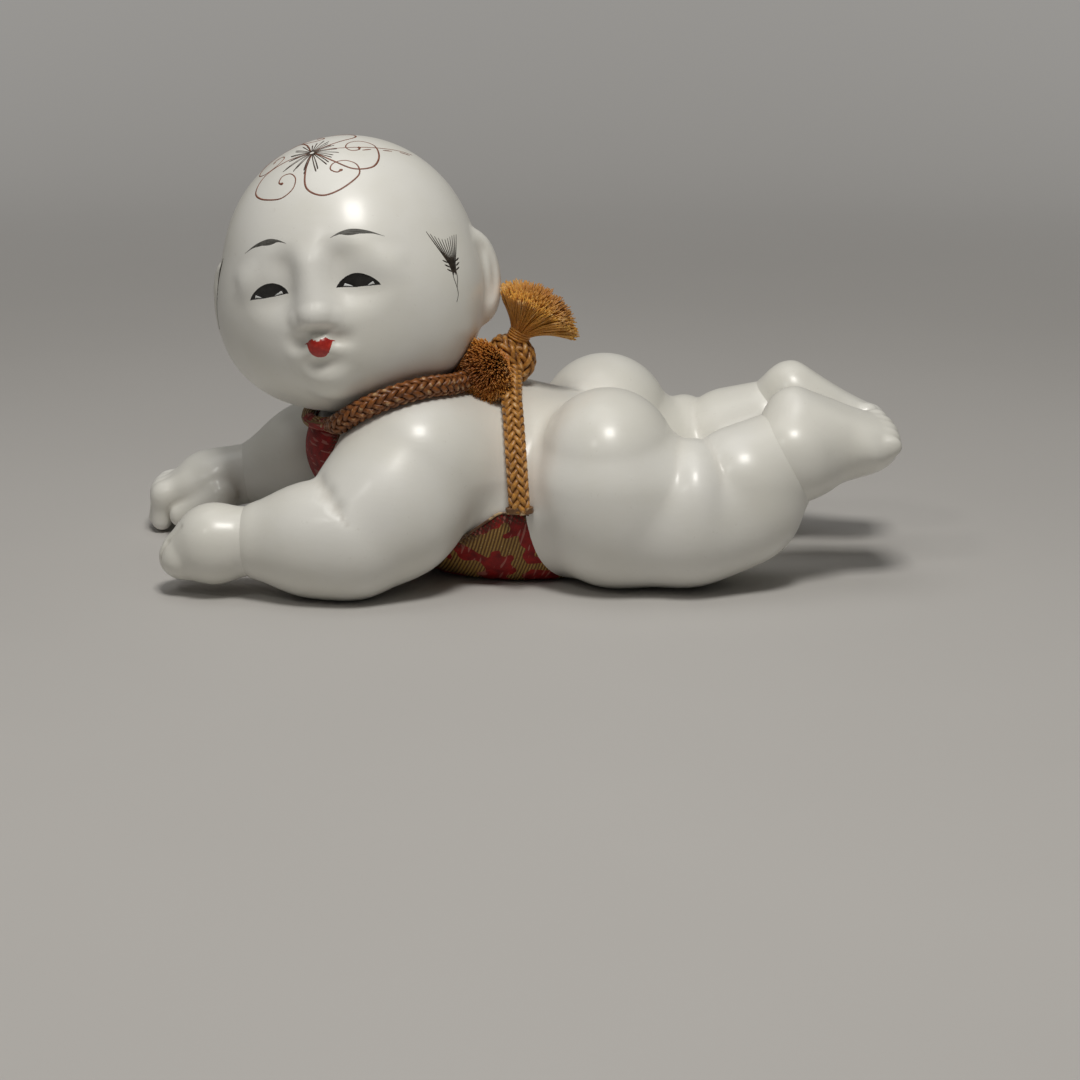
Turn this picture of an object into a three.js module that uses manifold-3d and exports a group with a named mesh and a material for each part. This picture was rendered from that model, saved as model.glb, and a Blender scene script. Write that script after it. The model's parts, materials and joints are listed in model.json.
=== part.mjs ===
// A crawling baby doll: a white coated paste body on pegs, a head on a turning neck plug, a bib and its cord.
// Millimetres. The body lies along X with the head towards -X, its left side at -Y and the ground at Z = 0.
import * as THREE from "three";
import { mergeVertices } from "three/addons/utils/BufferGeometryUtils.js";
import Module from "manifold-3d";

const wasm = await Module();
wasm.setup();

// Fits
const GLUE_GAP = 0.3; // between glued neighbours
const TURN_GAP = 0.6; // between the head and what it turns over
const SHELL_WALL = 4;

// Body
const BELLY_HALF_LENGTH = 31;
const BELLY_HALF_WIDTH = 27;
const BELLY_HALF_HEIGHT = 22.6;
const BELLY_HEIGHT = 17.7; // of its centre above the ground
const CHEST_HALF_LENGTH = 25;
const CHEST_HALF_WIDTH = 26;
const CHEST_HALF_HEIGHT = 17.5;
const CHEST_AHEAD = 22; // of the belly's centre
const CHEST_RISE = 9.3; // above the belly's centre
const BODY_BLEND = 8;
const BODY_SEAM_HEIGHT = 14;

// Arms
const SHOULDER_SPREAD = 19; // from the middle plane
const SHOULDER_RADIUS = 17.2;
const ELBOW_RADIUS = 13.6;
const FOREARM_RADIUS = 13.3;
const WRIST_RADIUS = 9;
const LEFT_FOREARM_LENGTH = 18.2;
const RIGHT_FOREARM_LENGTH = 20.9;
const FIST_RADIUS = 9.2;
const FIST_TIP_RADIUS = 6;
const FINGER_RADIUS = 2.7;
const THUMB_RADIUS = 3;
const FINGER_LIFT = 0.4; // of the drooping finger tips above the ground

// Legs
const BUTTOCK_HALF_LENGTH = 15.2;
const BUTTOCK_HALF_WIDTH = 18;
const BUTTOCK_HALF_HEIGHT = 16;
const HIP_SPREAD = 18.8;
const THIGH_RADIUS = 17.8;
const SHIN_RADIUS = 10.8; // of the flesh that runs under roll and calf
const KNEE_ROLL_HALF_LENGTH = 9.6; // of the roll of flesh above the knee
const KNEE_ROLL_HALF_WIDTH = 15.4;
const KNEE_ROLL_HALF_HEIGHT = 15.2;
const CALF_RADIUS = 13.6;
const ANKLE_RADIUS = 10.8;
const CALF_LENGTH = 9.6;
const HEEL_RADIUS = 8;
const FOOT_HALF_LENGTH = 12;
const FOOT_HALF_WIDTH = 8.5;
const FOOT_HALF_THICKNESS = 6.6;
const TOE_RADIUS = 1.9;
const TOE_SPACING = 2.7;

// Head
const HEAD_HALF_WIDTH = 28.8;
const HEAD_HALF_DEPTH = 29.5;
const HEAD_HALF_HEIGHT = 29.6;
const CHEEK_RADIUS = 15.6;
const CHIN_RADIUS = 4.5;
const NOSE_TIP_RADIUS = 2.9;
const NOSE_WING_RADIUS = 2.1;
const EAR_HALF_HEIGHT = 10.4;
const EAR_HALF_DEPTH = 6.2;
const EAR_HALF_THICKNESS = 3.4;
const EAR_FLARE = 35; // degrees that the ear's rear edge stands out
const HEAD_SEAM_DEPTH = 4; // behind the head's centre
const HEAD_NOD = 8.5; // degrees, the face up
const HEAD_LOOK = 12.5; // degrees, the face from straight sideways towards ahead
const HEAD_TILT = 7; // degrees, its right ear down
const NECK_LENGTH = 27; // from the socket's mouth to the head's centre
const NECK_LEAN = 23.6; // degrees, forward from upright
const PLUG_RADIUS = 8;
const PLUG_LENGTH = 34;
const TURN_AHEAD = 50; // degrees that the head turns from rest towards looking straight ahead
const TURN_ASIDE = 8; // degrees that it turns the other way

// Pegs
const LIMB_PEG_RADIUS = 2.5;
const LIMB_PEG_LENGTH = 16;
const END_PEG_RADIUS = 2;
const END_PEG_LENGTH = 12;

// Bib and cord
const BIB_THICKNESS = 0.8;
const BIB_NECK_HALF_WIDTH = 10;
const BIB_CORNER_HALF_WIDTH = 3; // of the blunt corner that the waist cord is sewn to
const BIB_SLOPE_AHEAD = 21; // from the side corner forward to the ground
const BIB_SLOPE_BEHIND = 12;
const BIB_TIP_BEHIND = 30; // from the belly's centre to the rear tip
const CORD_RADIUS = 2.5;
const KNOT_RADIUS = 4.9;
const UPPER_TASSEL_LENGTH = 13.5;
const UPPER_TASSEL_RADIUS = 9.5;
const UPPER_TASSEL_FLATNESS = 0.65; // thickness to width
const LOWER_TASSEL_LENGTH = 14;
const LOWER_TASSEL_RADIUS = 5.6;
const LOWER_TASSEL_FLATNESS = 1;
const TASSEL_NECK_RADIUS = 2.4;
const TASSEL_FLUTES = 11;

const vec = (x, y, z) => new THREE.Vector3(x, y, z);
const turned = (x, y, z) =>
  new THREE.Quaternion().setFromEuler(
    new THREE.Euler(...[x, y, z].map(THREE.MathUtils.degToRad), "XYZ"),
  );

// Round forms as signed distances: each is a function of a point, negative inside.
const ball = (centre, radius) => (p) => p.distanceTo(centre) - radius;

function egg(centre, halfSizes, turn = new THREE.Quaternion()) {
  const back = turn.clone().invert();
  const q = vec();
  return (p) => {
    q.copy(p).sub(centre).applyQuaternion(back).divide(halfSizes);
    const reach = q.length();
    const slope = q.divide(halfSizes).length();
    return slope > 0 ? (reach * (reach - 1)) / slope : -halfSizes.x;
  };
}

// A ball at each end and the cone that touches both.
function taper(start, end, startRadius, endRadius) {
  const axis = end.clone().sub(start);
  const length = axis.length();
  axis.divideScalar(length);
  const lean = (startRadius - endRadius) / length;
  const upright = Math.sqrt(1 - lean * lean);
  const q = vec();
  return (p) => {
    q.copy(p).sub(start);
    const along = q.dot(axis);
    const out = Math.sqrt(Math.max(q.lengthSq() - along * along, 0));
    const side = along * upright - out * lean;
    if (side < 0) return q.length() - startRadius;
    if (side > length * upright) return p.distanceTo(end) - endRadius;
    return out * upright + along * lean - startRadius;
  };
}

const softMin = (a, b, blend) => {
  const overlap = Math.max(blend - Math.abs(a - b), 0);
  return Math.min(a, b) - (overlap * overlap) / (4 * blend);
};
const join = (blend, ...forms) => (p) =>
  forms.map((form) => form(p)).reduce((a, b) => softMin(a, b, blend));
const dent = (blend, form, tool) => (p) => -softMin(-form(p), tool(p), blend);
const grown = (form, by) => (p) => form(p) - by;

// The same form on the other side of the middle plane.
function mirrored(form) {
  const q = vec();
  return (p) => form(q.set(p.x, -p.y, p.z));
}

// Solids
const REACH = 120; // beyond any form from its own middle
const HALVINGS = 32;

function solid(geometry) {
  geometry.deleteAttribute("normal");
  geometry.deleteAttribute("uv");
  const merged = mergeVertices(geometry, 1e-4);
  return new wasm.Manifold(
    new wasm.Mesh({
      numProp: 3,
      vertProperties: merged.attributes.position.array,
      triVerts: new Uint32Array(merged.index.array),
    }),
  );
}

// Pushes each point of a unit sphere out from the middle to the surface of a form.
function pushOut(sphere, form, middle, stretch = vec(1, 1, 1)) {
  const points = sphere.getAttribute("position");
  const ray = vec();
  const probe = vec();
  for (let i = 0; i < points.count; i++) {
    ray.fromBufferAttribute(points, i).multiply(stretch).normalize();
    let inside = 0;
    let outside = REACH;
    for (let n = 0; n < HALVINGS; n++) {
      const between = (inside + outside) / 2;
      if (form(probe.copy(middle).addScaledVector(ray, between)) < 0) inside = between;
      else outside = between;
    }
    probe.copy(middle).addScaledVector(ray, inside);
    points.setXYZ(i, probe.x, probe.y, probe.z);
  }
  return sphere;
}

const skin = (form, middle, detail, stretch) =>
  solid(pushOut(new THREE.IcosahedronGeometry(1, detail), form, middle, stretch));

function box(low, high) {
  const size = high.clone().sub(low);
  const middle = high.clone().add(low).multiplyScalar(0.5);
  return solid(new THREE.BoxGeometry(...size).translate(...middle));
}

const underGround = box(vec(-REACH, -REACH, -REACH), vec(REACH, REACH, 0));
const below = (z) => box(vec(-REACH, -REACH, -REACH), vec(REACH, REACH, z));
const above = (z) => box(vec(-REACH, -REACH, z), vec(REACH, REACH, REACH));

// A round bar centred on a point.
function rod(centre, direction, radius, length, sides = 16) {
  const bar = new THREE.CylinderGeometry(radius, radius, length, sides);
  bar.applyQuaternion(new THREE.Quaternion().setFromUnitVectors(vec(0, 1, 0), direction));
  return solid(bar.translate(...centre));
}

const leftOrRight = (side) => (side < 0 ? "left" : "right");
const between = (a, b, share) => a.clone().lerp(b, share);

// Body: belly and chest as two blended eggs, cut flat under the belly where the bib lies on the ground.
const bellyCentre = vec(-3, 0, BELLY_HEIGHT);
const chestCentre = bellyCentre.clone().add(vec(-CHEST_AHEAD, 0, CHEST_RISE));
const torsoForm = join(
  BODY_BLEND,
  egg(bellyCentre, vec(BELLY_HALF_LENGTH, BELLY_HALF_WIDTH, BELLY_HALF_HEIGHT)),
  egg(chestCentre, vec(CHEST_HALF_LENGTH, CHEST_HALF_WIDTH, CHEST_HALF_HEIGHT)),
);
const torsoMiddle = between(bellyCentre, chestCentre, 0.5);
const torsoStretch = vec(1.4, 1, 1);
const bellyFloor = BIB_THICKNESS + GLUE_GAP;
const torsoSolid = (growth, detail) =>
  skin(grown(torsoForm, growth), torsoMiddle, detail, torsoStretch).subtract(below(bellyFloor - growth));

// Head, in its own frame: it faces -Y with its left ear at +X.
const neckAxis = vec(0, 0, 1).applyQuaternion(turned(0, -NECK_LEAN, 0));
const neckMouth = chestCentre.clone().add(vec(-7, 0, CHEST_HALF_HEIGHT - 2.5));
const headCentre = neckMouth.clone().addScaledVector(neckAxis, NECK_LENGTH);
const headTurn = turned(-HEAD_NOD, 0, 0);
headTurn.multiply(turned(0, 0, -HEAD_LOOK)).multiply(turned(0, -HEAD_TILT, 0));
const skull = egg(vec(0, 1.5, 0), vec(HEAD_HALF_WIDTH, HEAD_HALF_DEPTH, HEAD_HALF_HEIGHT));
const faceFront = -HEAD_HALF_DEPTH + 1.5;
const bothSides = (form) => join(0.01, form, (p) => form(vec(-p.x, p.y, p.z)));
const cheeks = bothSides(ball(vec(11.2, faceFront + 23.6, -9.4), CHEEK_RADIUS));
const jaw = egg(vec(0, faceFront + 12.7, -16.2), vec(12.5, 11, 9));
const eyeHollows = bothSides(egg(vec(10.2, faceFront - 8.2, -3), vec(9, 10.4, 6)));
const nose = taper(vec(0, faceFront + 1, 1), vec(0, faceFront - 1, -8.6), 1.8, NOSE_TIP_RADIUS);
const noseWings = bothSides(ball(vec(2.8, faceFront + 0.7, -9.2), NOSE_WING_RADIUS));
const lipMound = egg(vec(0, faceFront + 3, -15.8), vec(5.6, 3.4, 4.8));
const chin = ball(vec(0, faceFront + 6.5, -22), CHIN_RADIUS);
const headForm = join(
  4,
  join(2, join(4.5, dent(5, join(7, skull, cheeks, jaw), eyeHollows), nose), noseWings),
  lipMound,
  chin,
);

// From the head's own frame to the doll's.
function placed(form) {
  const back = headTurn.clone().invert();
  const q = vec();
  return (p) => form(q.copy(p).sub(headCentre).applyQuaternion(back));
}
const toDoll = (geometry) => geometry.applyQuaternion(headTurn).translate(...headCentre);

// A sphere with its pole at the tip of the nose, so that the facets are finest on the face.
const FACE_RINGS = 26;
const FACE_SIDES = 34;
const FACE_CROWDING = 1.35;
const headMiddle = vec(0, 0, -3);
function faceSphere() {
  const sphere = new THREE.SphereGeometry(1, FACE_SIDES, FACE_RINGS);
  const points = sphere.getAttribute("position");
  const p = vec();
  for (let i = 0; i < points.count; i++) {
    p.fromBufferAttribute(points, i);
    const fromPole = Math.PI * (Math.acos(THREE.MathUtils.clamp(p.y, -1, 1)) / Math.PI) ** FACE_CROWDING;
    const around = Math.atan2(p.z, p.x);
    const out = i <= FACE_SIDES || i >= points.count - FACE_SIDES - 1 ? 0 : Math.sin(fromPole);
    points.setXYZ(i, out * Math.cos(around), Math.cos(fromPole), out * Math.sin(around));
  }
  return sphere.rotateX(Math.PI);
}
const headGeometry = (growth) => toDoll(pushOut(faceSphere(), grown(headForm, growth), headMiddle));

// What the head sweeps as it turns on its plug: its widest reach at each level, turned about the neck's axis.
function headSweep(clearance) {
  const levels = 14;
  const points = headGeometry(0).getAttribute("position");
  const p = vec();
  const reach = new Array(levels).fill(0);
  let low = REACH;
  let high = -REACH;
  const each = (use) => {
    for (let i = 0; i < points.count; i++) {
      p.fromBufferAttribute(points, i).sub(headCentre);
      const along = p.dot(neckAxis);
      use(along, Math.sqrt(Math.max(p.lengthSq() - along * along, 0)));
    }
  };
  each((along) => {
    low = Math.min(low, along);
    high = Math.max(high, along);
  });
  const step = (high - low) / levels;
  each((along, out) => {
    const level = Math.min(Math.floor((along - low) / step), levels - 1);
    for (const n of [level - 1, level, level + 1]) {
      if (n >= 0 && n < levels) reach[n] = Math.max(reach[n], out);
    }
  });
  const rim = reach.map((out, n) => new THREE.Vector2(out + clearance, low + (n + 0.5) * step - clearance));
  const profile = [new THREE.Vector2(0, rim[0].y - step), ...rim, new THREE.Vector2(0, high + clearance)];
  const bowl = new THREE.LatheGeometry(profile, 24);
  bowl.applyQuaternion(new THREE.Quaternion().setFromUnitVectors(vec(0, 1, 0), neckAxis));
  return solid(bowl.translate(...headCentre));
}
const sweep = headSweep(TURN_GAP);

const plugMiddle = neckMouth.clone().addScaledVector(neckAxis, PLUG_LENGTH * 0.06);
const plug = (growth) => rod(plugMiddle, neckAxis, PLUG_RADIUS + growth, PLUG_LENGTH + 2 * growth, 24);

// Arms: shoulder, elbow on the ground, forearm, wrist.
const restDepth = 0.5; // the flat that each resting limb is cut to
const arms = [
  {
    side: -1,
    elbowAhead: 14,
    elbowOut: 11.5,
    elbowHeight: ELBOW_RADIUS - restDepth,
    forearm: vec(-1, 0.1, -0.05),
    hand: vec(-1, 0.1, -0.05),
    forearmLength: LEFT_FOREARM_LENGTH,
    wristRadius: WRIST_RADIUS,
  },
  {
    side: 1,
    elbowAhead: 19,
    elbowOut: 11.5,
    elbowHeight: ELBOW_RADIUS + 5.9,
    forearm: vec(-1, -0.06, -0.305),
    hand: vec(-1, -0.06, -0.09),
    forearmLength: RIGHT_FOREARM_LENGTH,
    wristRadius: WRIST_RADIUS - 1.2,
  },
];
for (const arm of arms) {
  arm.name = leftOrRight(arm.side);
  arm.forearm.normalize();
  arm.hand.normalize();
  arm.shoulder = chestCentre.clone().add(vec(-2, arm.side * SHOULDER_SPREAD, -0.6));
  arm.elbow = vec(
    arm.shoulder.x - arm.elbowAhead,
    arm.side * (SHOULDER_SPREAD + arm.elbowOut),
    arm.elbowHeight,
  );
  arm.wrist = arm.elbow.clone().addScaledVector(arm.forearm, arm.forearmLength);
  arm.form = join(
    1.5,
    taper(arm.shoulder, arm.elbow, SHOULDER_RADIUS, ELBOW_RADIUS),
    taper(arm.elbow.clone().addScaledVector(arm.forearm, 3), arm.wrist, FOREARM_RADIUS, arm.wristRadius),
  );
  arm.solid = (growth, detail) => skin(grown(arm.form, growth), arm.elbow, detail, vec(1.5, 1, 1));
  arm.pegMiddle = arm.shoulder.clone().add(vec(0, arm.side * (CHEST_HALF_WIDTH - SHOULDER_SPREAD), 0));
  arm.peg = (growth) =>
    rod(arm.pegMiddle, vec(0, 1, 0), LIMB_PEG_RADIUS + growth, LIMB_PEG_LENGTH + 2 * growth, 12);
  arm.wristSeat = arm.wrist.clone().addScaledVector(arm.forearm, END_PEG_LENGTH / 3);
  arm.wristPeg = (growth) =>
    rod(arm.wristSeat, arm.forearm, END_PEG_RADIUS + growth, END_PEG_LENGTH + 2 * growth, 10);
}

// Left hand: a plump fist that narrows to the front, its finger tips rolled under there.
const [leftArm, rightArm] = arms;
const HAND_MIDDLE = vec(-1.5, 0, -1); // of a hand, from the centre of its palm
function fist(arm) {
  const centre = arm.wrist.clone().addScaledVector(arm.hand, WRIST_RADIUS + 3).add(vec(0, 0, -0.4));
  const front = centre.clone().add(vec(-5.6, 0.6, -2.2));
  const knuckles = front.clone().add(vec(-2.6, 0, -0.4));
  const fingers = [-1.5, -0.5, 0.5, 1.5].map((place) =>
    egg(knuckles.clone().add(vec(0.4 * place ** 2, place * 3.2, 0)), vec(3, FINGER_RADIUS - 0.4, 3.7)),
  );
  const thumbRoot = centre.clone().add(vec(-1, 7, 1));
  const thumb = taper(thumbRoot, thumbRoot.clone().add(vec(-5, 0.2, -3)), THUMB_RADIUS, THUMB_RADIUS - 0.5);
  const mitten = taper(centre, front, FIST_RADIUS - 0.4, FIST_TIP_RADIUS);
  return { middle: centre.clone().add(HAND_MIDDLE), form: join(1.2, mitten, ...fingers, thumb) };
}

// Right hand: palm down, the fingers drooping to the ground and the thumb held to their near side.
function droopingHand(arm) {
  const centre = arm.wrist.clone().addScaledVector(arm.hand, WRIST_RADIUS + 3).add(vec(0, 0, -1));
  const palm = egg(centre, vec(FIST_RADIUS + 0.8, FIST_RADIUS - 0.4, FIST_RADIUS - 2.2), turned(0, -22, 0));
  const fingers = [-1.5, -0.5, 0.5, 1.5].map((place) => {
    const knuckle = centre.clone().add(vec(-6, 1.4 + place * 4, -1.8));
    const tipRadius = FINGER_RADIUS - 0.3;
    const tip = vec(knuckle.x - 6.5 + Math.abs(place), knuckle.y - place * 0.6, tipRadius + FINGER_LIFT);
    return taper(knuckle, tip, FINGER_RADIUS + 0.8, tipRadius);
  });
  const thumbRoot = centre.clone().add(vec(1.5, -7, -2.5));
  const thumbTip = thumbRoot.clone().add(vec(-7.5, -0.5, -6));
  const thumb = taper(thumbRoot, thumbTip, THUMB_RADIUS + 0.6, THUMB_RADIUS - 0.4);
  return { middle: centre.clone().add(HAND_MIDDLE), form: join(1.2, palm, ...fingers, thumb) };
}
leftArm.handForm = fist(leftArm);
rightArm.handForm = droopingHand(rightArm);
const handSolid = (arm, growth, detail) =>
  skin(grown(arm.handForm.form, growth), arm.handForm.middle, detail, vec(1.2, 1, 1));

// Legs: buttock, thigh on the ground, calf raised, foot with its sole up.
const legForms = (() => {
  const hip = vec(bellyCentre.x + 17.9, -HIP_SPREAD, BELLY_HEIGHT + 10);
  const thigh = vec(hip.x + 2.1, hip.y - 1.2, THIGH_RADIUS - restDepth);
  const kneeRoll = thigh.clone().add(vec(16.5, -2.5, 0.7));
  const calf = kneeRoll.clone().add(vec(11.2, 3, 4.1));
  const shin = calf.clone().add(vec(-0.5, -1.5, -3.6));
  const raised = vec(0.79, 0.31, 0.52).normalize();
  const ankle = calf.clone().addScaledVector(raised, CALF_LENGTH);
  const thighForm = join(
    5,
    egg(hip, vec(BUTTOCK_HALF_LENGTH, BUTTOCK_HALF_WIDTH, BUTTOCK_HALF_HEIGHT)),
    taper(thigh, shin, THIGH_RADIUS, SHIN_RADIUS),
    egg(kneeRoll, vec(KNEE_ROLL_HALF_LENGTH, KNEE_ROLL_HALF_WIDTH, KNEE_ROLL_HALF_HEIGHT)),
  );
  const calfForm = taper(calf, ankle, CALF_RADIUS, ANKLE_RADIUS);
  const heel = ankle.clone().add(vec(4.6, 2.4, 8.6));
  const sole = heel.clone().add(vec(8.7, 0.2, -6.4));
  const tread = heel.clone().add(vec(15.2, 0, -5.4));
  const forefoot = tread.clone().add(vec(0.4, 0, 0.9));
  const roll = turned(14, 22, 0);
  const rowMiddle = tread.clone().add(vec(4.5, 0.2, 2.4));
  const toes = [-2, -1, 0, 1, 2].map((place) => {
    const along = vec(-0.55 * place - 0.12 * place ** 2, place * TOE_SPACING, place * 0.9);
    return ball(rowMiddle.clone().add(along), TOE_RADIUS + (place === 2 ? 0.4 : 0));
  });
  const instep = ankle.clone().add(vec(2.5, 1.2, 1.5));
  const instepRadius = ANKLE_RADIUS - 1.2;
  const footForm = join(
    3,
    taper(instep, heel.clone().add(vec(2.7, 0, -3)), instepRadius, HEEL_RADIUS + 0.5),
    taper(heel, tread, HEEL_RADIUS, FOOT_HALF_THICKNESS - 1.8),
    egg(sole, vec(FOOT_HALF_LENGTH, FOOT_HALF_WIDTH, FOOT_HALF_THICKNESS), roll),
    egg(forefoot, vec(FOOT_HALF_LENGTH / 2, FOOT_HALF_WIDTH, FOOT_HALF_THICKNESS - 1.8), roll),
  );
  return {
    hip,
    calf,
    sole,
    raised,
    ankleSeat: instep.clone().addScaledVector(raised, -instepRadius),
    thighForm,
    calfForm,
    footForm: join(0.8, footForm, ...toes),
    thighMiddle: between(hip, kneeRoll, 0.35),
  };
})();
const onSide = (side, form) => (side < 0 ? form : mirrored(form));
const sidePoint = (side, point) => vec(point.x, -side * point.y, point.z);
const middleCut = (side) =>
  side < 0
    ? box(vec(-REACH, -GLUE_GAP / 2, -REACH), vec(REACH, REACH, REACH))
    : box(vec(-REACH, -REACH, -REACH), vec(REACH, GLUE_GAP / 2, REACH));
const legSolid = (side, growth, detail) =>
  skin(grown(onSide(side, legForms.thighForm), growth), sidePoint(side, legForms.thighMiddle), detail)
    .add(skin(grown(onSide(side, legForms.calfForm), growth), sidePoint(side, legForms.calf), detail - 2));
const footStretch = vec(1.5, 1, 1);
const footSolid = (side, growth, detail) =>
  skin(grown(onSide(side, legForms.footForm), growth), sidePoint(side, legForms.sole), detail, footStretch);
const legPeg = (side, growth) =>
  rod(
    vec(legForms.hip.x - 2, side * (BELLY_HALF_WIDTH - 6), legForms.hip.z - 4),
    vec(0, 1, 0),
    LIMB_PEG_RADIUS + growth,
    LIMB_PEG_LENGTH + 2 * growth,
    12,
  );
const anklePeg = (side, growth) =>
  rod(
    sidePoint(side, legForms.ankleSeat),
    sidePoint(side, legForms.raised),
    END_PEG_RADIUS + growth,
    END_PEG_LENGTH + 2 * growth,
    10,
  );

// The group that holds every piece.
const doll = new THREE.Group();
const finishes = {
  coat: { color: 0xe9e6dc, roughness: 0.35, metalness: 0 },
  wood: { color: 0xb08a5a, roughness: 0.7, metalness: 0 },
  brocade: { color: 0x8c2418, roughness: 0.6, metalness: 0.1 },
  cord: { color: 0xb5691c, roughness: 0.6, metalness: 0 },
};
function addPiece(name, finish, piece) {
  const mesh = piece.getMesh();
  const geometry = new THREE.BufferGeometry();
  geometry.setAttribute("position", new THREE.BufferAttribute(mesh.vertProperties, 3));
  geometry.setIndex(new THREE.BufferAttribute(mesh.triVerts, 1));
  geometry.computeVertexNormals();
  const made = new THREE.Mesh(geometry, new THREE.MeshStandardMaterial(finishes[finish]));
  made.name = name;
  doll.add(made);
  return piece;
}

// Body shells
const TORSO_DETAIL = 5;
let torso = torsoSolid(0, TORSO_DETAIL)
  .subtract(torsoSolid(-SHELL_WALL, 4))
  .subtract(sweep)
  .subtract(plug(TURN_GAP));
for (const arm of arms) torso = torso.subtract(arm.peg(GLUE_GAP));
for (const side of [-1, 1]) torso = torso.subtract(legPeg(side, GLUE_GAP));
addPiece("torso_back_shell", "coat", torso.subtract(below(BODY_SEAM_HEIGHT + GLUE_GAP / 2)));
addPiece("torso_belly_shell", "coat", torso.subtract(above(BODY_SEAM_HEIGHT - GLUE_GAP / 2)));
const torsoRoom = torsoSolid(GLUE_GAP, TORSO_DETAIL);

// Arms, hands and their pegs
const ARM_DETAIL = 4;
const HAND_DETAIL = 5;
for (const arm of arms) {
  const upper = arm
    .solid(0, ARM_DETAIL)
    .subtract(torsoRoom)
    .subtract(sweep)
    .subtract(handSolid(arm, GLUE_GAP, HAND_DETAIL))
    .subtract(arm.peg(GLUE_GAP))
    .subtract(arm.wristPeg(GLUE_GAP))
    .subtract(underGround);
  addPiece(arm.name + "_arm", "coat", upper);
  addPiece(arm.name + "_arm_peg", "wood", arm.peg(0));
  addPiece(
    arm.name + "_hand",
    "coat",
    handSolid(arm, 0, HAND_DETAIL).subtract(arm.wristPeg(GLUE_GAP)).subtract(underGround),
  );
  addPiece(arm.name + "_wrist_peg", "wood", arm.wristPeg(0));
}

// Legs, feet and their pegs
const LEG_DETAIL = 5;
const FOOT_DETAIL = 5;
for (const side of [-1, 1]) {
  const name = leftOrRight(side);
  const leg = legSolid(side, 0, LEG_DETAIL)
    .subtract(torsoRoom)
    .subtract(middleCut(side))
    .subtract(footSolid(side, GLUE_GAP, FOOT_DETAIL))
    .subtract(legPeg(side, GLUE_GAP))
    .subtract(anklePeg(side, GLUE_GAP))
    .subtract(underGround);
  addPiece(name + "_leg", "coat", leg);
  addPiece(name + "_leg_peg", "wood", legPeg(side, 0));
  addPiece(name + "_foot", "coat", footSolid(side, 0, FOOT_DETAIL).subtract(anklePeg(side, GLUE_GAP)));
  addPiece(name + "_ankle_peg", "wood", anklePeg(side, 0));
}

// Bib: a sheet on the belly and chest, cut to the outline of a diamond with its corners at the waist.
const bibReach = BELLY_HALF_WIDTH + CHEST_HALF_WIDTH;
const bibFront = chestCentre.x - CHEST_HALF_LENGTH - 6;
const bibCorner = bellyCentre.x - 1.4;
const bibTop = chestCentre.z + CHEST_HALF_HEIGHT;
function prism(outline, depth, stand) {
  const shape = new THREE.Shape(outline.map(([x, y]) => new THREE.Vector2(x, y)));
  const geometry = new THREE.ExtrudeGeometry(shape, { depth, bevelEnabled: false });
  return solid(stand(geometry));
}
const sideOutline = [
  [bibCorner + BIB_CORNER_HALF_WIDTH, BELLY_HEIGHT],
  [bibCorner - BIB_CORNER_HALF_WIDTH, BELLY_HEIGHT],
  [bibCorner - BIB_SLOPE_AHEAD, bellyFloor],
  [bibCorner - BIB_SLOPE_AHEAD - 8, bibTop],
  [bibFront, bibTop],
  [bibFront, -bibTop],
  [bellyCentre.x + BIB_TIP_BEHIND, -bibTop],
  [bellyCentre.x + BIB_TIP_BEHIND, bellyFloor + 6],
  [bibCorner + BIB_SLOPE_BEHIND, bellyFloor],
].reverse();
const planOutline = [
  [bibFront, -BIB_NECK_HALF_WIDTH],
  [bibCorner - BIB_SLOPE_AHEAD, -BELLY_HALF_WIDTH * 0.7],
  [bibCorner - BIB_SLOPE_AHEAD / 2, -bibReach],
  [bibCorner + BIB_SLOPE_BEHIND / 2, -bibReach],
  [bibCorner + BIB_SLOPE_BEHIND, -BELLY_HALF_WIDTH * 0.7],
  [bellyCentre.x + BIB_TIP_BEHIND, -BIB_CORNER_HALF_WIDTH],
];
const mirroredPlan = planOutline.map(([x, y]) => [x, -y]).reverse();
const sidePrism = prism(sideOutline, 2 * bibReach, (g) => g.rotateX(Math.PI / 2).translate(0, bibReach, 0));
const planPrism = prism([...planOutline, ...mirroredPlan], 2 * bibTop, (g) => g.translate(0, 0, -bibTop));
let bib = torsoSolid(GLUE_GAP + BIB_THICKNESS, TORSO_DETAIL)
  .subtract(torsoRoom)
  .intersect(sidePrism)
  .intersect(planPrism)
  .subtract(sweep);
for (const arm of arms) bib = bib.subtract(arm.solid(GLUE_GAP, ARM_DETAIL));
for (const side of [-1, 1]) bib = bib.subtract(legSolid(side, GLUE_GAP, LEG_DETAIL));
addPiece("bib_panel", "brocade", bib);

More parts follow.
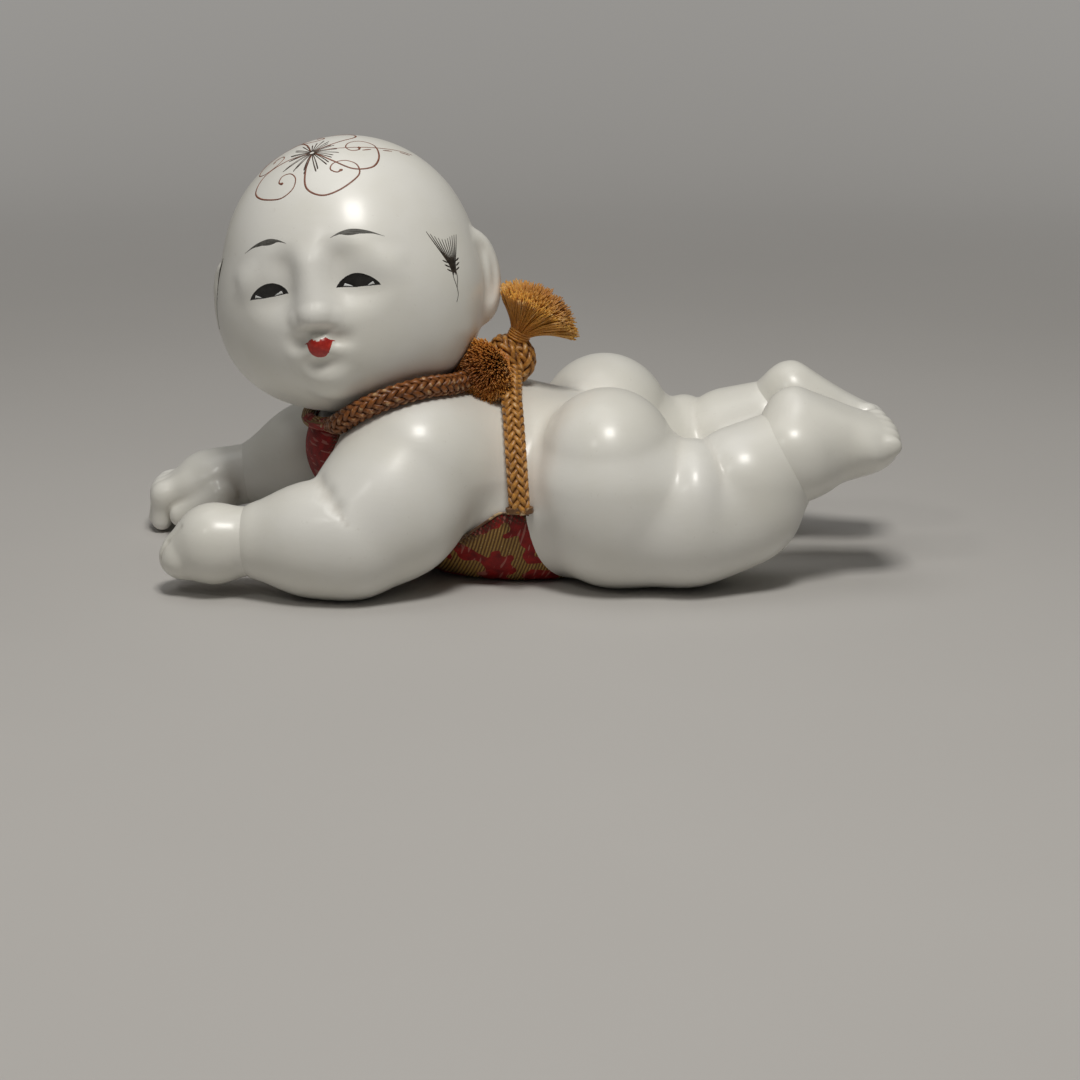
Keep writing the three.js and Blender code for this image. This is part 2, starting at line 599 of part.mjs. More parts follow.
// Head shells, ears and neck plug
const hollowForm = grown(headForm, -SHELL_WALL);
const headHollow = solid(toDoll(pushOut(new THREE.IcosahedronGeometry(1, 4), hollowForm, headMiddle)));
const behind = (depth) =>
  solid(toDoll(new THREE.BoxGeometry(REACH, REACH, REACH).translate(0, depth + REACH / 2, 0)));
const inFront = (depth) =>
  solid(toDoll(new THREE.BoxGeometry(REACH, REACH, REACH).translate(0, depth - REACH / 2, 0)));
const headShell = solid(headGeometry(0)).subtract(headHollow).subtract(plug(GLUE_GAP));
addPiece("face_shell", "coat", headShell.subtract(behind(HEAD_SEAM_DEPTH - GLUE_GAP / 2)));
addPiece("head_back_shell", "coat", headShell.subtract(inFront(HEAD_SEAM_DEPTH + GLUE_GAP / 2)));
const headRoom = solid(headGeometry(GLUE_GAP));
for (const side of [1, -1]) {
  const middle = vec(side * (HEAD_HALF_WIDTH - 0.4), 4, -5);
  const flare = turned(0, 0, -side * EAR_FLARE);
  const rim = egg(middle, vec(EAR_HALF_THICKNESS, EAR_HALF_DEPTH, EAR_HALF_HEIGHT), flare);
  const hollowOut = vec(side * (EAR_HALF_THICKNESS + 0.4), 0, 0.6).applyQuaternion(flare);
  const hollowMiddle = middle.clone().add(hollowOut);
  const hollowSize = vec(EAR_HALF_THICKNESS, EAR_HALF_DEPTH * 0.55, EAR_HALF_HEIGHT * 0.6);
  const hollow = egg(hollowMiddle, hollowSize, flare);
  const earSolid = (form, centre, detail) =>
    solid(toDoll(pushOut(new THREE.IcosahedronGeometry(1, detail), form, centre, vec(1, 1, 1.3))));
  const ear = earSolid(rim, middle, 3).subtract(earSolid(hollow, hollowMiddle, 2));
  addPiece((side > 0 ? "left" : "right") + "_ear", "coat", ear.subtract(headRoom));
}
addPiece("neck_plug", "wood", plug(0));

// Cord: the knot sits on the back behind the head, and each run of cord lies on the body.
const armForms = arms.map((arm) => arm.form);
const bodyForm = join(1, torsoForm, ...armForms);
const bodyWithBib = join(1, grown(torsoForm, GLUE_GAP + BIB_THICKNESS), ...armForms);
const headInPlace = placed(headForm);
function slopeOf(form, p) {
  const h = 0.05;
  const slope = ["x", "y", "z"].map((axis) => {
    const q = p.clone();
    q[axis] += h;
    const r = p.clone();
    r[axis] -= h;
    return form(q) - form(r);
  });
  return vec(...slope).normalize();
}
// Settles a point on a form, at a clearance from it and no nearer than that to what must stay clear.
const SETTLING = 80;
function settleOn(form, p, clearance, keepClear = () => REACH) {
  const q = p.clone();
  for (let n = 0; n < SETTLING; n++) {
    q.addScaledVector(slopeOf(form, q), clearance - form(q));
    const short = clearance - keepClear(q);
    if (short > 0) q.addScaledVector(slopeOf(keepClear, q), short);
  }
  return q;
}
const cordRoom = CORD_RADIUS + 1.6 * GLUE_GAP; // more than a glue line, for the chords between stops
const knotOnBack = vec(bellyCentre.x - 5.5, -1, BELLY_HEIGHT + BELLY_HALF_HEIGHT);
const knotCentre = settleOn(bodyForm, knotOnBack, KNOT_RADIUS + GLUE_GAP);
function cordAlong(points, steps) {
  const circle = new THREE.Shape();
  circle.absarc(0, 0, CORD_RADIUS, 0, 2 * Math.PI);
  const extrudePath = new THREE.CatmullRomCurve3(points, false, "centripetal");
  return new THREE.ExtrudeGeometry(circle, { steps, curveSegments: 4, bevelEnabled: false, extrudePath });
}
const fromKnot = (direction, further = 0) =>
  knotCentre.clone().addScaledVector(direction.normalize(), KNOT_RADIUS + GLUE_GAP + further);
// A cord leaves the knot straight for half its own width.
const leaving = (direction) => [fromKnot(direction), fromKnot(direction, CORD_RADIUS)];

// The room that the head takes as it turns from looking sideways to looking ahead.
const TURN_STEPS = 9;
const headTurns = Array.from({ length: TURN_STEPS }, (_, n) => {
  const angle = TURN_ASIDE - (n / (TURN_STEPS - 1)) * (TURN_ASIDE + TURN_AHEAD);
  return new THREE.Quaternion().setFromAxisAngle(neckAxis, -THREE.MathUtils.degToRad(angle));
});
function turningHead(p) {
  const q = vec();
  const gap = (turn) => headInPlace(q.copy(p).sub(headCentre).applyQuaternion(turn).add(headCentre));
  return Math.min(...headTurns.map(gap));
}

// Neck cord: round the neck in the groove between the head and the shoulders.
const NECK_CORD_STOPS = 21;
const NECK_CORD_OPENING = 30; // degrees each side of the knot
const NECK_CORD_REACH = 20.8; // from the neck's middle, behind it
const NECK_CORD_SPREAD = 3.7; // further out over the shoulders
const neckSide = vec(0, 1, 0);
const neckRear = vec().crossVectors(neckSide, neckAxis);
const neckRing = [];
for (let n = 0; n < NECK_CORD_STOPS; n++) {
  const share = n / (NECK_CORD_STOPS - 1);
  const angle = THREE.MathUtils.degToRad(NECK_CORD_OPENING + share * (360 - 2 * NECK_CORD_OPENING));
  const out = neckRear.clone().multiplyScalar(Math.cos(angle)).addScaledVector(neckSide, Math.sin(angle));
  const spread = NECK_CORD_SPREAD * Math.sin(angle) ** 8;
  const start = neckMouth.clone().addScaledVector(out, NECK_CORD_REACH + spread);
  neckRing.push(settleOn(bodyWithBib, start, cordRoom, turningHead));
}
const farEnd = leaving(vec(-0.9, 0.3, -0.06));
const nearEnd = leaving(vec(-0.9, -0.3, -0.06)).reverse();
const neckPoints = [...farEnd, ...neckRing, ...nearEnd];
addPiece("neck_cord", "cord", solid(cordAlong(neckPoints, 44)));

// Waist cords: from the knot down each flank to the side corner of the bib.
const WAIST_CORD_STOPS = 6;
const WAIST_CORD_TOP = 58; // degrees up from the side
const WAIST_CORD_FOOT = 7;
for (const side of [-1, 1]) {
  const points = leaving(vec(0.5, side * 0.72, -0.42));
  const waistTop = points[1];
  for (let n = 0; n < WAIST_CORD_STOPS; n++) {
    const share = n / (WAIST_CORD_STOPS - 1);
    const angle = THREE.MathUtils.degToRad(THREE.MathUtils.lerp(WAIST_CORD_TOP, WAIST_CORD_FOOT, share));
    const inside = vec(THREE.MathUtils.lerp(waistTop.x, bibCorner, share), 0, BELLY_HEIGHT);
    const ray = vec(0, side * Math.cos(angle), Math.sin(angle));
    let out = 0;
    while (torsoForm(inside.clone().addScaledVector(ray, out)) < cordRoom) out += 0.05;
    points.push(inside.addScaledVector(ray, out));
  }
  addPiece("waist_cord_" + leftOrRight(side), "cord", solid(cordAlong(points, 16)));
}

// Knot: two turns of cord pulled tight across each other.
function turnOfCord(turn) {
  const ring = new THREE.TorusGeometry(KNOT_RADIUS - CORD_RADIUS, CORD_RADIUS, 8, 12);
  return solid(ring.applyQuaternion(turn).translate(...knotCentre));
}
const knotCore = solid(new THREE.SphereGeometry(CORD_RADIUS + 0.6, 10, 6).translate(...knotCentre));
const steepTurn = turnOfCord(turned(60, 20, 0));
const crossingTurn = turnOfCord(turned(-40, 60, 0));
addPiece("cord_knot", "cord", knotCore.add(steepTurn).add(crossingTurn));

// Tassels: cord ends brushed out into fluted fans.
function tassel(direction, length, radius, flatness) {
  const neck = TASSEL_NECK_RADIUS;
  const profile = [
    [0, 0],
    [neck, 0],
    [neck * 0.8, 2],
    [radius * 0.62, length * 0.5],
    [radius, length * 0.82],
    [radius * 0.72, length * 0.97],
    [0, length],
  ].map(([out, along]) => new THREE.Vector2(out, along));
  const fan = new THREE.LatheGeometry(profile, 2 * TASSEL_FLUTES);
  const points = fan.getAttribute("position");
  for (let i = 0; i < points.count; i++) {
    const share = points.getY(i) / length;
    const angle = Math.atan2(points.getZ(i), points.getX(i));
    const flute = 1 + 0.09 * share * Math.cos(TASSEL_FLUTES * angle);
    points.setXYZ(i, points.getX(i) * flute, points.getY(i), points.getZ(i) * flute);
  }
  fan.applyQuaternion(new THREE.Quaternion().setFromUnitVectors(vec(0, 1, 0), direction.normalize()));
  return solid(fan.scale(1, flatness, 1).translate(...fromKnot(direction)));
}
addPiece(
  "tassel_upper",
  "cord",
  tassel(vec(0.42, -0.1, 0.9), UPPER_TASSEL_LENGTH, UPPER_TASSEL_RADIUS, UPPER_TASSEL_FLATNESS),
);
addPiece(
  "tassel_lower",
  "cord",
  tassel(vec(-0.27, -0.96, 0.06), LOWER_TASSEL_LENGTH, LOWER_TASSEL_RADIUS, LOWER_TASSEL_FLATNESS),
);

// The origin is on the ground, under the middle of the doll.
const bounds = new THREE.Box3().setFromObject(doll);
const middle = bounds.getCenter(vec());
doll.position.set(-middle.x, -middle.y, 0);

export default doll;
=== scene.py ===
import json
import math

import bpy
import numpy as np
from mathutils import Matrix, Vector


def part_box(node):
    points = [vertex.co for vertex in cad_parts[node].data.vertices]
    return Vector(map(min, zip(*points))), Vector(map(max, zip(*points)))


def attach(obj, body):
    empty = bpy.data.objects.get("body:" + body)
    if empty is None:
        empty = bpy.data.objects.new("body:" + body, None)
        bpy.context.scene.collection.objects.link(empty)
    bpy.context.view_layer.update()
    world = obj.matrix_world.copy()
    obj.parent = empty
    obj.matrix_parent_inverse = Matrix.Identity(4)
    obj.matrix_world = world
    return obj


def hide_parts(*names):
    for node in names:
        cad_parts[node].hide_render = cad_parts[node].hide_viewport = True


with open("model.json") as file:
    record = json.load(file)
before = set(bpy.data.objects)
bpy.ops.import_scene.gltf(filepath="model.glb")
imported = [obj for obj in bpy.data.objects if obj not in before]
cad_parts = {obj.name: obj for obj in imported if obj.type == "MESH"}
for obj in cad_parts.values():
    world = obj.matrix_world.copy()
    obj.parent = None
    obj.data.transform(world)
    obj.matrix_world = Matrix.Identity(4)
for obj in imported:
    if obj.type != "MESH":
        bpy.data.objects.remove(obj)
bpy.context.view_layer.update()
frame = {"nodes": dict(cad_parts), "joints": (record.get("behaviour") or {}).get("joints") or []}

# Camera
# The photograph looks square on to the doll's left side from a little above, through a long lens.
# Places below are in millimetres from the mouth of the neck socket, which the CAD's neck joint gives.
MM = 0.001
neck_joint = next(joint for joint in frame["joints"] if joint["name"] == "neck_turn")
neck_mouth = np.array(neck_joint["pos_m"]) / MM
neck_axis = np.array(neck_joint["axis"]) / np.linalg.norm(neck_joint["axis"])
AIM_FROM_NECK = (32, 0, -37.4)
VIEW_ELEVATION = math.radians(15)
VIEW_DISTANCE = 700
LENS = 102.7
SENSOR = 36
aim = neck_mouth + AIM_FROM_NECK
view_offset = VIEW_DISTANCE * np.array((0, -math.cos(VIEW_ELEVATION), math.sin(VIEW_ELEVATION)))

camera = bpy.data.objects.new("camera", bpy.data.cameras.new("camera"))
camera.data.lens = LENS
camera.data.sensor_width = SENSOR
camera.location = (aim + view_offset) * MM
camera.rotation_euler = (math.pi / 2 - VIEW_ELEVATION, 0, 0)
bpy.context.scene.collection.objects.link(camera)
bpy.context.scene.camera = camera

# Body, arms and legs
# The real ones are pressed wood paste, glued and pegged together, then brushed with many coats of ground
# shell white and polished, so one unbroken skin runs over trunk and limbs, with soft grooves between.
TINY = 1e-9  # keeps a division from meeting nought


def unit(v):
    return v / np.maximum(np.linalg.norm(v, axis=-1, keepdims=True), TINY)


def ball(centre, radius):
    """A round form is a function that gives each point's distance from its surface, negative inside."""
    return lambda p: np.sqrt(((p - centre) ** 2).sum(1)) - radius


def egg(centre, halves, turn=np.eye(3)):
    """A ball stretched to three half sizes, and turned."""
    halves = np.array(halves, float)

    def form(p):
        q = (p - centre) @ turn / halves
        reach = np.sqrt((q * q).sum(1))
        slope = np.sqrt(((q / halves) ** 2).sum(1))
        return reach * (reach - 1) / np.maximum(slope, TINY)

    return form


def taper(start, end, start_radius, end_radius):
    """A ball at each end and the cone that touches both."""
    start = np.array(start, float)
    end = np.array(end, float)
    length = np.linalg.norm(end - start)
    axis = (end - start) / length
    lean = (start_radius - end_radius) / length
    upright = math.sqrt(1 - lean * lean)

    def form(p):
        q = p - start
        squared = (q * q).sum(1)
        along = q @ axis
        out = np.sqrt(np.maximum(squared - along * along, 0))
        side = along * upright - out * lean
        flank = out * upright + along * lean - start_radius
        far = np.sqrt(((p - end) ** 2).sum(1)) - end_radius
        past_start = np.where(side > length * upright, far, flank)
        return np.where(side < 0, np.sqrt(squared) - start_radius, past_start)

    return form


def soft_min(a, b, blend):
    overlap = np.maximum(blend - np.abs(a - b), 0)
    return np.minimum(a, b) - overlap * overlap / (4 * blend)


def join(blend, *forms):
    """The forms as one, with the groove between them filled to a radius, which may change with the place."""

    def form(p):
        fill = blend(p) if callable(blend) else blend
        joined = forms[0](p)
        for other in forms[1:]:
            joined = soft_min(joined, other(p), fill)
        return joined

    return form


def dent(blend, form, tool):
    """A form with a tool's shape taken out of it, and the rim rounded."""
    return lambda p: -soft_min(-form(p), tool(p), blend)


def mirrored(form):
    """The same form on the doll's other side."""
    return lambda p: form(p * (1, -1, 1))


def turned(x=0, y=0, z=0):
    """A turn about Z, then Y, then X, in degrees."""
    cx, cy, cz = np.cos(np.radians((x, y, z)))
    sx, sy, sz = np.sin(np.radians((x, y, z)))
    about_x = np.array(((1, 0, 0), (0, cx, -sx), (0, sx, cx)))
    about_y = np.array(((cy, 0, sy), (0, 1, 0), (-sy, 0, cy)))
    about_z = np.array(((cz, -sz, 0), (sz, cz, 0), (0, 0, 1)))
    return about_x @ about_y @ about_z


def slope_of(form, p, step=0.03):
    """The direction in which a form's distance grows, at each point."""
    return np.stack([(form(p + nudge) - form(p - nudge)) / (2 * step) for nudge in np.eye(3) * step], 1)


LEAST_SLOPE = 0.05  # keeps a point from leaping where a form is flat


def onto(form, p, steps=4):
    """Points moved on to a form's surface."""
    p = p.copy()
    for _ in range(steps):
        slope = slope_of(form, p)
        size = np.maximum((slope * slope).sum(1), LEAST_SLOPE)
        p -= slope * (form(p) / size)[:, None]
    return p


FULL_HOLLOW = 1.6  # one over this, the bend per millimetre at which a groove counts as tight


def hollowness(form, p, step):
    """How sharply the surface turns inwards at each point, from 0 on swells to 1 in a tight groove."""
    bend = -6 * form(p)
    for nudge in np.eye(3) * step:
        bend += form(p + nudge) + form(p - nudge)
    return np.clip(-bend / (step * step) * FULL_HOLLOW, 0, 1)


CELL_CORNERS = np.array([(x, y, z) for x in (0, 1) for y in (0, 1) for z in (0, 1)])
CELL_EDGES = [
    (a, b)
    for a in range(len(CELL_CORNERS))
    for b in range(a + 1, len(CELL_CORNERS))
    if np.abs(CELL_CORNERS[a] - CELL_CORNERS[b]).sum() == 1
]
GRID_BATCH = 150000  # the most points to work out at a time


def skin_of(form, low, high, cell):
    """Points and four-sided faces of a form's surface, with one point in each grid cell that it crosses."""
    counts = np.ceil((high - low) / cell).astype(int) + 1
    grid = np.stack(np.meshgrid(*[np.arange(n) for n in counts], indexing="ij"), -1).reshape(-1, 3)
    batches = np.array_split(grid, len(grid) // GRID_BATCH + 1)
    values = np.concatenate([form(low + batch * cell) for batch in batches]).reshape(counts)
    inside = values < 0
    nx, ny, nz = counts - 1
    near = [inside[x:nx + x, y:ny + y, z:nz + z] for x, y, z in CELL_CORNERS]
    crossed = np.logical_or.reduce(near) & ~np.logical_and.reduce(near)
    cells = np.argwhere(crossed)
    corner_values = [values[tuple((cells + corner).T)] for corner in CELL_CORNERS]
    total = np.zeros(cells.shape)
    crossings = np.zeros(len(cells))
    for a, b in CELL_EDGES:
        cut = (corner_values[a] < 0) != (corner_values[b] < 0)
        gap = np.where(cut, corner_values[a] - corner_values[b], 1)
        share = np.where(cut, corner_values[a] / gap, 0)
        point = CELL_CORNERS[a] + share[:, None] * (CELL_CORNERS[b] - CELL_CORNERS[a])
        total += point * cut[:, None]
        crossings += cut
    points = low + (cells + total / crossings[:, None]) * cell
    number = np.full(crossed.shape, -1)
    number[tuple(cells.T)] = np.arange(len(cells))
    faces = []
    for axis in range(3):
        first, second = [other for other in range(3) if other != axis]
        ahead = np.roll(inside, -1, axis)
        changed = inside != ahead
        for side in range(3):
            for end in (-1,) if side == axis else (0, -1):
                edge = [slice(None)] * 3
                edge[side] = end
                changed[tuple(edge)] = False
        edges = np.argwhere(changed)
        step_first = np.eye(3, dtype=int)[first]
        step_second = np.eye(3, dtype=int)[second]
        ring = [edges - step_first - step_second, edges - step_second, edges, edges - step_first]
        quads = np.stack([number[tuple(part.T)] for part in ring], 1)
        leaving = inside[tuple(edges.T)]
        outward = leaving if axis != 1 else ~leaving
        faces.append(np.where(outward[:, None], quads, quads[:, ::-1]))
    return onto(form, points), np.concatenate(faces).tolist()


def add_mesh(name, points, faces, material, marks=()):
    """A smooth mesh from points in millimetres. Each mark is a number at every point, for the material."""
    mesh = bpy.data.meshes.new(name)
    mesh.from_pydata((np.asarray(points) * MM).tolist(), [], faces)
    for mark, values in marks:
        mesh.attributes.new(mark, "FLOAT", "POINT").data.foreach_set("value", np.asarray(values, np.float32))
    mesh.polygons.foreach_set("use_smooth", np.ones(len(mesh.polygons), bool))
    mesh.materials.append(material)
    mesh.update()
    made = bpy.data.objects.new(name, mesh)
    bpy.context.scene.collection.objects.link(made)
    return made


def around(*nodes, room):
    """The box round CAD nodes, in millimetres, with some room."""
    corners = np.array([[list(corner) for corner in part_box(node)] for node in nodes]) / MM
    return corners[:, 0].min(0) - room, corners[:, 1].max(0) + room


NOISE_ROUGHNESS = 0.55


class Shade:
    """A socket of a material. Python's operators on it add Math nodes, and node() adds any other."""

    def __init__(self, tree, socket):
        self.tree = tree
        self.socket = socket

    def node(self, kind, settings=None, inputs=None, output=0):
        made = self.tree.nodes.new("ShaderNode" + kind)
        for setting, value in (settings or {}).items():
            setattr(made, setting, value)
        for name, value in (inputs or {}).items():
            socket = made.inputs[name]
            if isinstance(value, Shade):
                self.tree.links.new(value.socket, socket)
            else:
                socket.default_value = value
        return Shade(self.tree, made.outputs[output])

    def maths(self, operation, *values):
        return self.node("Math", {"operation": operation}, dict(enumerate(values)))

    def __add__(self, other):
        return self.maths("ADD", self, other)

    def __radd__(self, other):
        return self.maths("ADD", other, self)

    def __sub__(self, other):
        return self.maths("SUBTRACT", self, other)

    def __rsub__(self, other):
        return self.maths("SUBTRACT", other, self)

    def __mul__(self, other):
        return self.maths("MULTIPLY", self, other)

    def __rmul__(self, other):
        return self.maths("MULTIPLY", other, self)

    def mark(self, name):
        """A number that the mesh keeps at each of its points."""
        return self.node("Attribute", {"attribute_name": name}, None, "Fac")

    def limited(self):
        return self.node("Clamp", None, {"Value": self})

    def stepped(self, low, high):
        """0 below low, 1 above high and a smooth rise between."""
        settings = {"interpolation_type": "SMOOTHSTEP"}
        return self.node("MapRange", settings, {"Value": self, "From Min": low, "From Max": high})

    def tinted(self, low_colour, high_colour):
        """A colour between two, by this value."""
        inputs = {"Factor": self}
        for place, colour in ((6, low_colour), (7, high_colour)):
            inputs[place] = colour if isinstance(colour, Shade) else (*colour, 1)
        return self.node("Mix", {"data_type": "RGBA"}, inputs, 2)

    def noise(self, scale, detail):
        inputs = {"Vector": self, "Scale": scale, "Detail": detail, "Roughness": NOISE_ROUGHNESS}
        return self.node("TexNoise", None, inputs)

    def raised(self, height, strength):
        """A Normal from this height, in metres."""
        return self.node("Bump", None, {"Height": self, "Strength": strength, "Distance": height})


def new_finish(name):
    """A material with its main shader, and the place on the object to work from."""
    material = bpy.data.materials.new(name)
    material.use_nodes = True
    tree = material.node_tree
    shader = tree.nodes["Principled BSDF"]
    place = Shade(tree, shader.outputs[0]).node("TexCoord", None, None, "Object")
    return material, shader, place


def feed(shader, **sockets):
    """Links or sets the main shader's sockets. A name's underscores stand for spaces."""
    for name, value in sockets.items():
        socket = shader.inputs[name.replace("_", " ")]
        if isinstance(value, Shade):
            value.tree.links.new(value.socket, socket)
        else:
            socket.default_value = value


SHELL_WHITE = (0.845, 0.835, 0.785)
SHELL_CLOUD = (0.80, 0.785, 0.715)
GROOVE_DUST_AND_SHADE = (0.50, 0.465, 0.40)
SPECK_BROWN = (0.45, 0.40, 0.33)


def shell_white():
    """Ground shell in glue, brushed on and polished: warm white, a little cloudy, dust and painted shade in
    grooves.
    """
    material, shader, place = new_finish("shell_white")
    crease = place.mark("crease")
    cloud = place.noise(38, 4)
    speck = place.noise(900, 2).stepped(0.69, 0.74)
    brushed = place.node("Mapping", None, {"Vector": place, "Scale": (260, 700, 900)}).noise(1, 2)
    white = cloud.stepped(0.35, 0.68).tinted(SHELL_CLOUD, SHELL_WHITE)
    # The grooves are tinted darker, by how tight the hollow is: dust and painted shade together.
    dust_and_shade = (crease * (0.15 + cloud * 0.3)).limited().tinted(white, GROOVE_DUST_AND_SHADE)
    coat_colour = (speck * 0.1).tinted(dust_and_shade, SPECK_BROWN)
    feed(shader, Base_Color=coat_colour, Roughness=0.3 + cloud * 0.14 + brushed * 0.05 + crease * 0.4)
    feed(shader, Normal=(brushed * 0.6 + cloud * 1.6).raised(0.00006, 0.5))
    feed(shader, Coat_Weight=0.3, Coat_Roughness=0.2, IOR=1.5)
    return material


white_coat = shell_white()


def add_coat(name, form, nodes, cell, room=4, groove=0.5):
    """The polished skin of a form, made in the box of the CAD nodes that it stands for."""
    points, faces = skin_of(form, *around(*nodes, room=room), cell)
    return add_mesh(name, points, faces, white_coat, [("crease", hollowness(form, points, groove))])


FLOOR_CUT = 0.3  # the rounding of the flats that the limbs rest on
BIB_ROOM = 1.1  # the bib's thickness and its glue, under the belly
CHEST_HALVES = (27, 26, 17.5)
BELLY_HALVES = (31, 27, 22.6)
UNDER_BELLY_HALVES = (19, 23.5, 16)
chest = neck_mouth + (7, 0, -15)
belly = chest + (22, 0, -9.3)
under_belly = belly + (-12, 0, 0)
trunk = join(8, egg(belly, BELLY_HALVES), egg(chest, CHEST_HALVES), egg(under_belly, UNDER_BELLY_HALVES))

ARM_SIDES = {"left": -1, "right": 1}
SHOULDER_OUT = 19
ELBOW_OUT = 30.5
SHOULDER_RADIUS = 17.2
ELBOW_RADIUS = 13.5
FOREARM_RADIUS = 13.3
FOREARM_SWELL = 12.1
UNDER_ARM_RADIUS = 15.5
ELBOW_FOLD = ((-6.4, 0, 13), (-4.6, 6, 11.5), (-2.4, 9.6, 9.4), (0, 12, 6))  # from the elbow, along the fold
FOLD_SUNK = (1.7, 1.7, 2.0, 3.4)  # how far the fold's tool is short of reaching the skin at each place
shoulders = {}
forearms = {}
wrists = {}
arm_forms = {}
for side, ahead, height, lean, length, wrist_radius in (
    ("left", 14, 13.1, (-1, 0.1, -0.05), 18.2, 9.0),
    ("right", 19, 19.5, (-1, -0.06, -0.305), 20.9, 7.8),
):
    out = ARM_SIDES[side]
    shoulders[side] = chest + (-2, out * SHOULDER_OUT, -0.6)
    elbow = np.array((shoulders[side][0] - ahead, out * ELBOW_OUT, height))
    forearms[side] = unit(np.array(lean))
    wrists[side] = elbow + forearms[side] * length
    forearm = taper(elbow + forearms[side] * 3, wrists[side], FOREARM_RADIUS, wrist_radius)
    forearm = join(3, forearm, ball(elbow + forearms[side] * 8.5, FOREARM_SWELL))
    under_arm = ball((shoulders[side] + elbow) / 2 + (1.8, out * 0.6, -1.5), UNDER_ARM_RADIUS)
    upper_arm = taper(shoulders[side], elbow, SHOULDER_RADIUS, ELBOW_RADIUS)
    arm = join(1.0, join(4, upper_arm, under_arm), forearm)
    fold_stops = onto(arm, elbow + np.array(ELBOW_FOLD) * (1, out, 1))
    for start, end, start_sunk, end_sunk in zip(fold_stops, fold_stops[1:], FOLD_SUNK, FOLD_SUNK[1:]):
        arm = dent(5, arm, taper(start, end, -start_sunk, -end_sunk))
    arm_forms[side] = arm

BUTTOCK_HALVES = (15.2, 18, 16)
KNEE_HALVES = (9.6, 15.4, 15.2)
THIGH_RADIUS = 17.8
CALF_RADIUS = 13.6
ANKLE_RADIUS = 10.8
hip = np.array((belly[0] + 17.9, -18.8, belly[2] + 10))
thigh = np.array((hip[0] + 2.1, hip[1] - 1.2, 17.3))
knee_roll = thigh + (16.5, -2.5, 0.7)
calf = knee_roll + (11.2, 3, 4.1)
shin = calf + (-0.5, -1.5, -3.6)
ankle = calf + unit(np.array((0.79, 0.31, 0.52))) * 9.6


def rising(values, low, high):
    """A smooth step from 0 at low to 1 at high."""
    share = np.clip((values - low) / (high - low), 0, 1)
    return share * share * (3 - 2 * share)


def fill_by_height(low_fill, high_fill, low, high):
    """The fill of a groove that is soft near the ground and tight on top."""
    return lambda p: low_fill + (high_fill - low_fill) * rising(p[:, 2], low, high)


thigh_form = taper(thigh, shin, THIGH_RADIUS, ANKLE_RADIUS)
near_leg = join(
    fill_by_height(12, 1, 3, 31),
    join(fill_by_height(10, 1.5, 24, 38), egg(hip, BUTTOCK_HALVES), thigh_form),
    egg(knee_roll, KNEE_HALVES),
    taper(calf, ankle, CALF_RADIUS, ANKLE_RADIUS),
)
leg_forms = {"left": near_leg, "right": mirrored(near_leg)}


def hip_fill(p):
    """The groove round the top of the leg is sharp on the back and soft underneath."""
    return np.clip(6 - (p[:, 2] - 17) * 0.22, 1.8, 6)


def arm_fill(p):
    """The arm swells out of the shoulder, but stands clear of the bib at the throat and under the belly."""
    above = np.clip((p[:, 2] - 13) / 12, 0, 1)
    behind = np.clip((p[:, 0] - chest[0] + 24) / 12, 0, 1)
    return 0.8 + 5.2 * above * behind


# The head's round form is needed here too, because the body has a dish that the head turns in.
# The head has a frame of its own, in which it faces -Y with its left ear at +X.
HEAD_OUT = 27  # from the neck socket's mouth to the middle of the head
head_centre = neck_mouth + neck_axis * HEAD_OUT
head_turn = turned(x=-8.5) @ turned(z=-12.5) @ turned(y=-7)
FACE_FRONT = -28
TURN_GAP = 0.5  # between the head and what it turns over


def both(form):
    """A form and its mirror image across the head's middle."""
    return lambda p: form(np.abs(p) * (1, 0, 0) + p * (0, 1, 1))


SKULL_HALVES = (28.3, 29.5, 29.6)
CHEEK_RADIUS = 15.9
JAW_HALVES = (13.5, 11.3, 9.2)
LOWER_HALVES = (26.4, 25.4, 23.4)
skull = egg((0.5, 1.5, 0), SKULL_HALVES)
cheeks = both(ball((11.9, FACE_FRONT + 23.6, -10.2), CHEEK_RADIUS))
jaw = egg((0, FACE_FRONT + 13.2, -17.0), JAW_HALVES)
lower_round = egg((1.5, -2, -7), LOWER_HALVES)
round_head = join(7, skull, cheeks, jaw, lower_round)


def in_head_frame(form):
    return lambda p: form((p - head_centre) @ head_turn)


def turned_about_neck(degrees):
    """The turn of the head on its plug, as a matrix."""
    angle = math.radians(degrees)
    x, y, z = neck_axis
    across = np.array(((0, -z, y), (z, 0, -x), (-y, x, 0)))
    return np.eye(3) + math.sin(angle) * across + (1 - math.cos(angle)) * across @ across


TURN_STOPS = (-50, -36, -22, -8, 0, 8)  # degrees, over the neck joint's whole range
HEAD_REACH = 35  # no part of the round head is further from its middle
head_stops = [turned_about_neck(degrees) for degrees in TURN_STOPS]


def turning_head(p):
    """The room that the head takes at every stop of its turn."""
    offset = p - head_centre
    gap = np.sqrt((offset ** 2).sum(1)) - HEAD_REACH + 1
    near = gap < 2
    gap[near] = np.min([round_head(offset[near] @ stop @ head_turn) for stop in head_stops], 0)
    return gap


lifted_trunk = dent(FLOOR_CUT, trunk, lambda p: p[:, 2] - BIB_ROOM)
body_form = join(hip_fill, join(arm_fill, lifted_trunk, *arm_forms.values()), *leg_forms.values())
body_form = dent(FLOOR_CUT, body_form, lambda p: p[:, 2])
body_form = dent(0.6, body_form, lambda p: turning_head(p) - TURN_GAP)

BODY_NODES = ["torso_back_shell", "torso_belly_shell", "left_arm", "right_arm", "left_leg", "right_leg"]
body_cell = 0.9
body_coat = add_coat("body_coat", body_form, BODY_NODES, body_cell, groove=0.7)
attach(body_coat, "body")
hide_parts(*BODY_NODES)

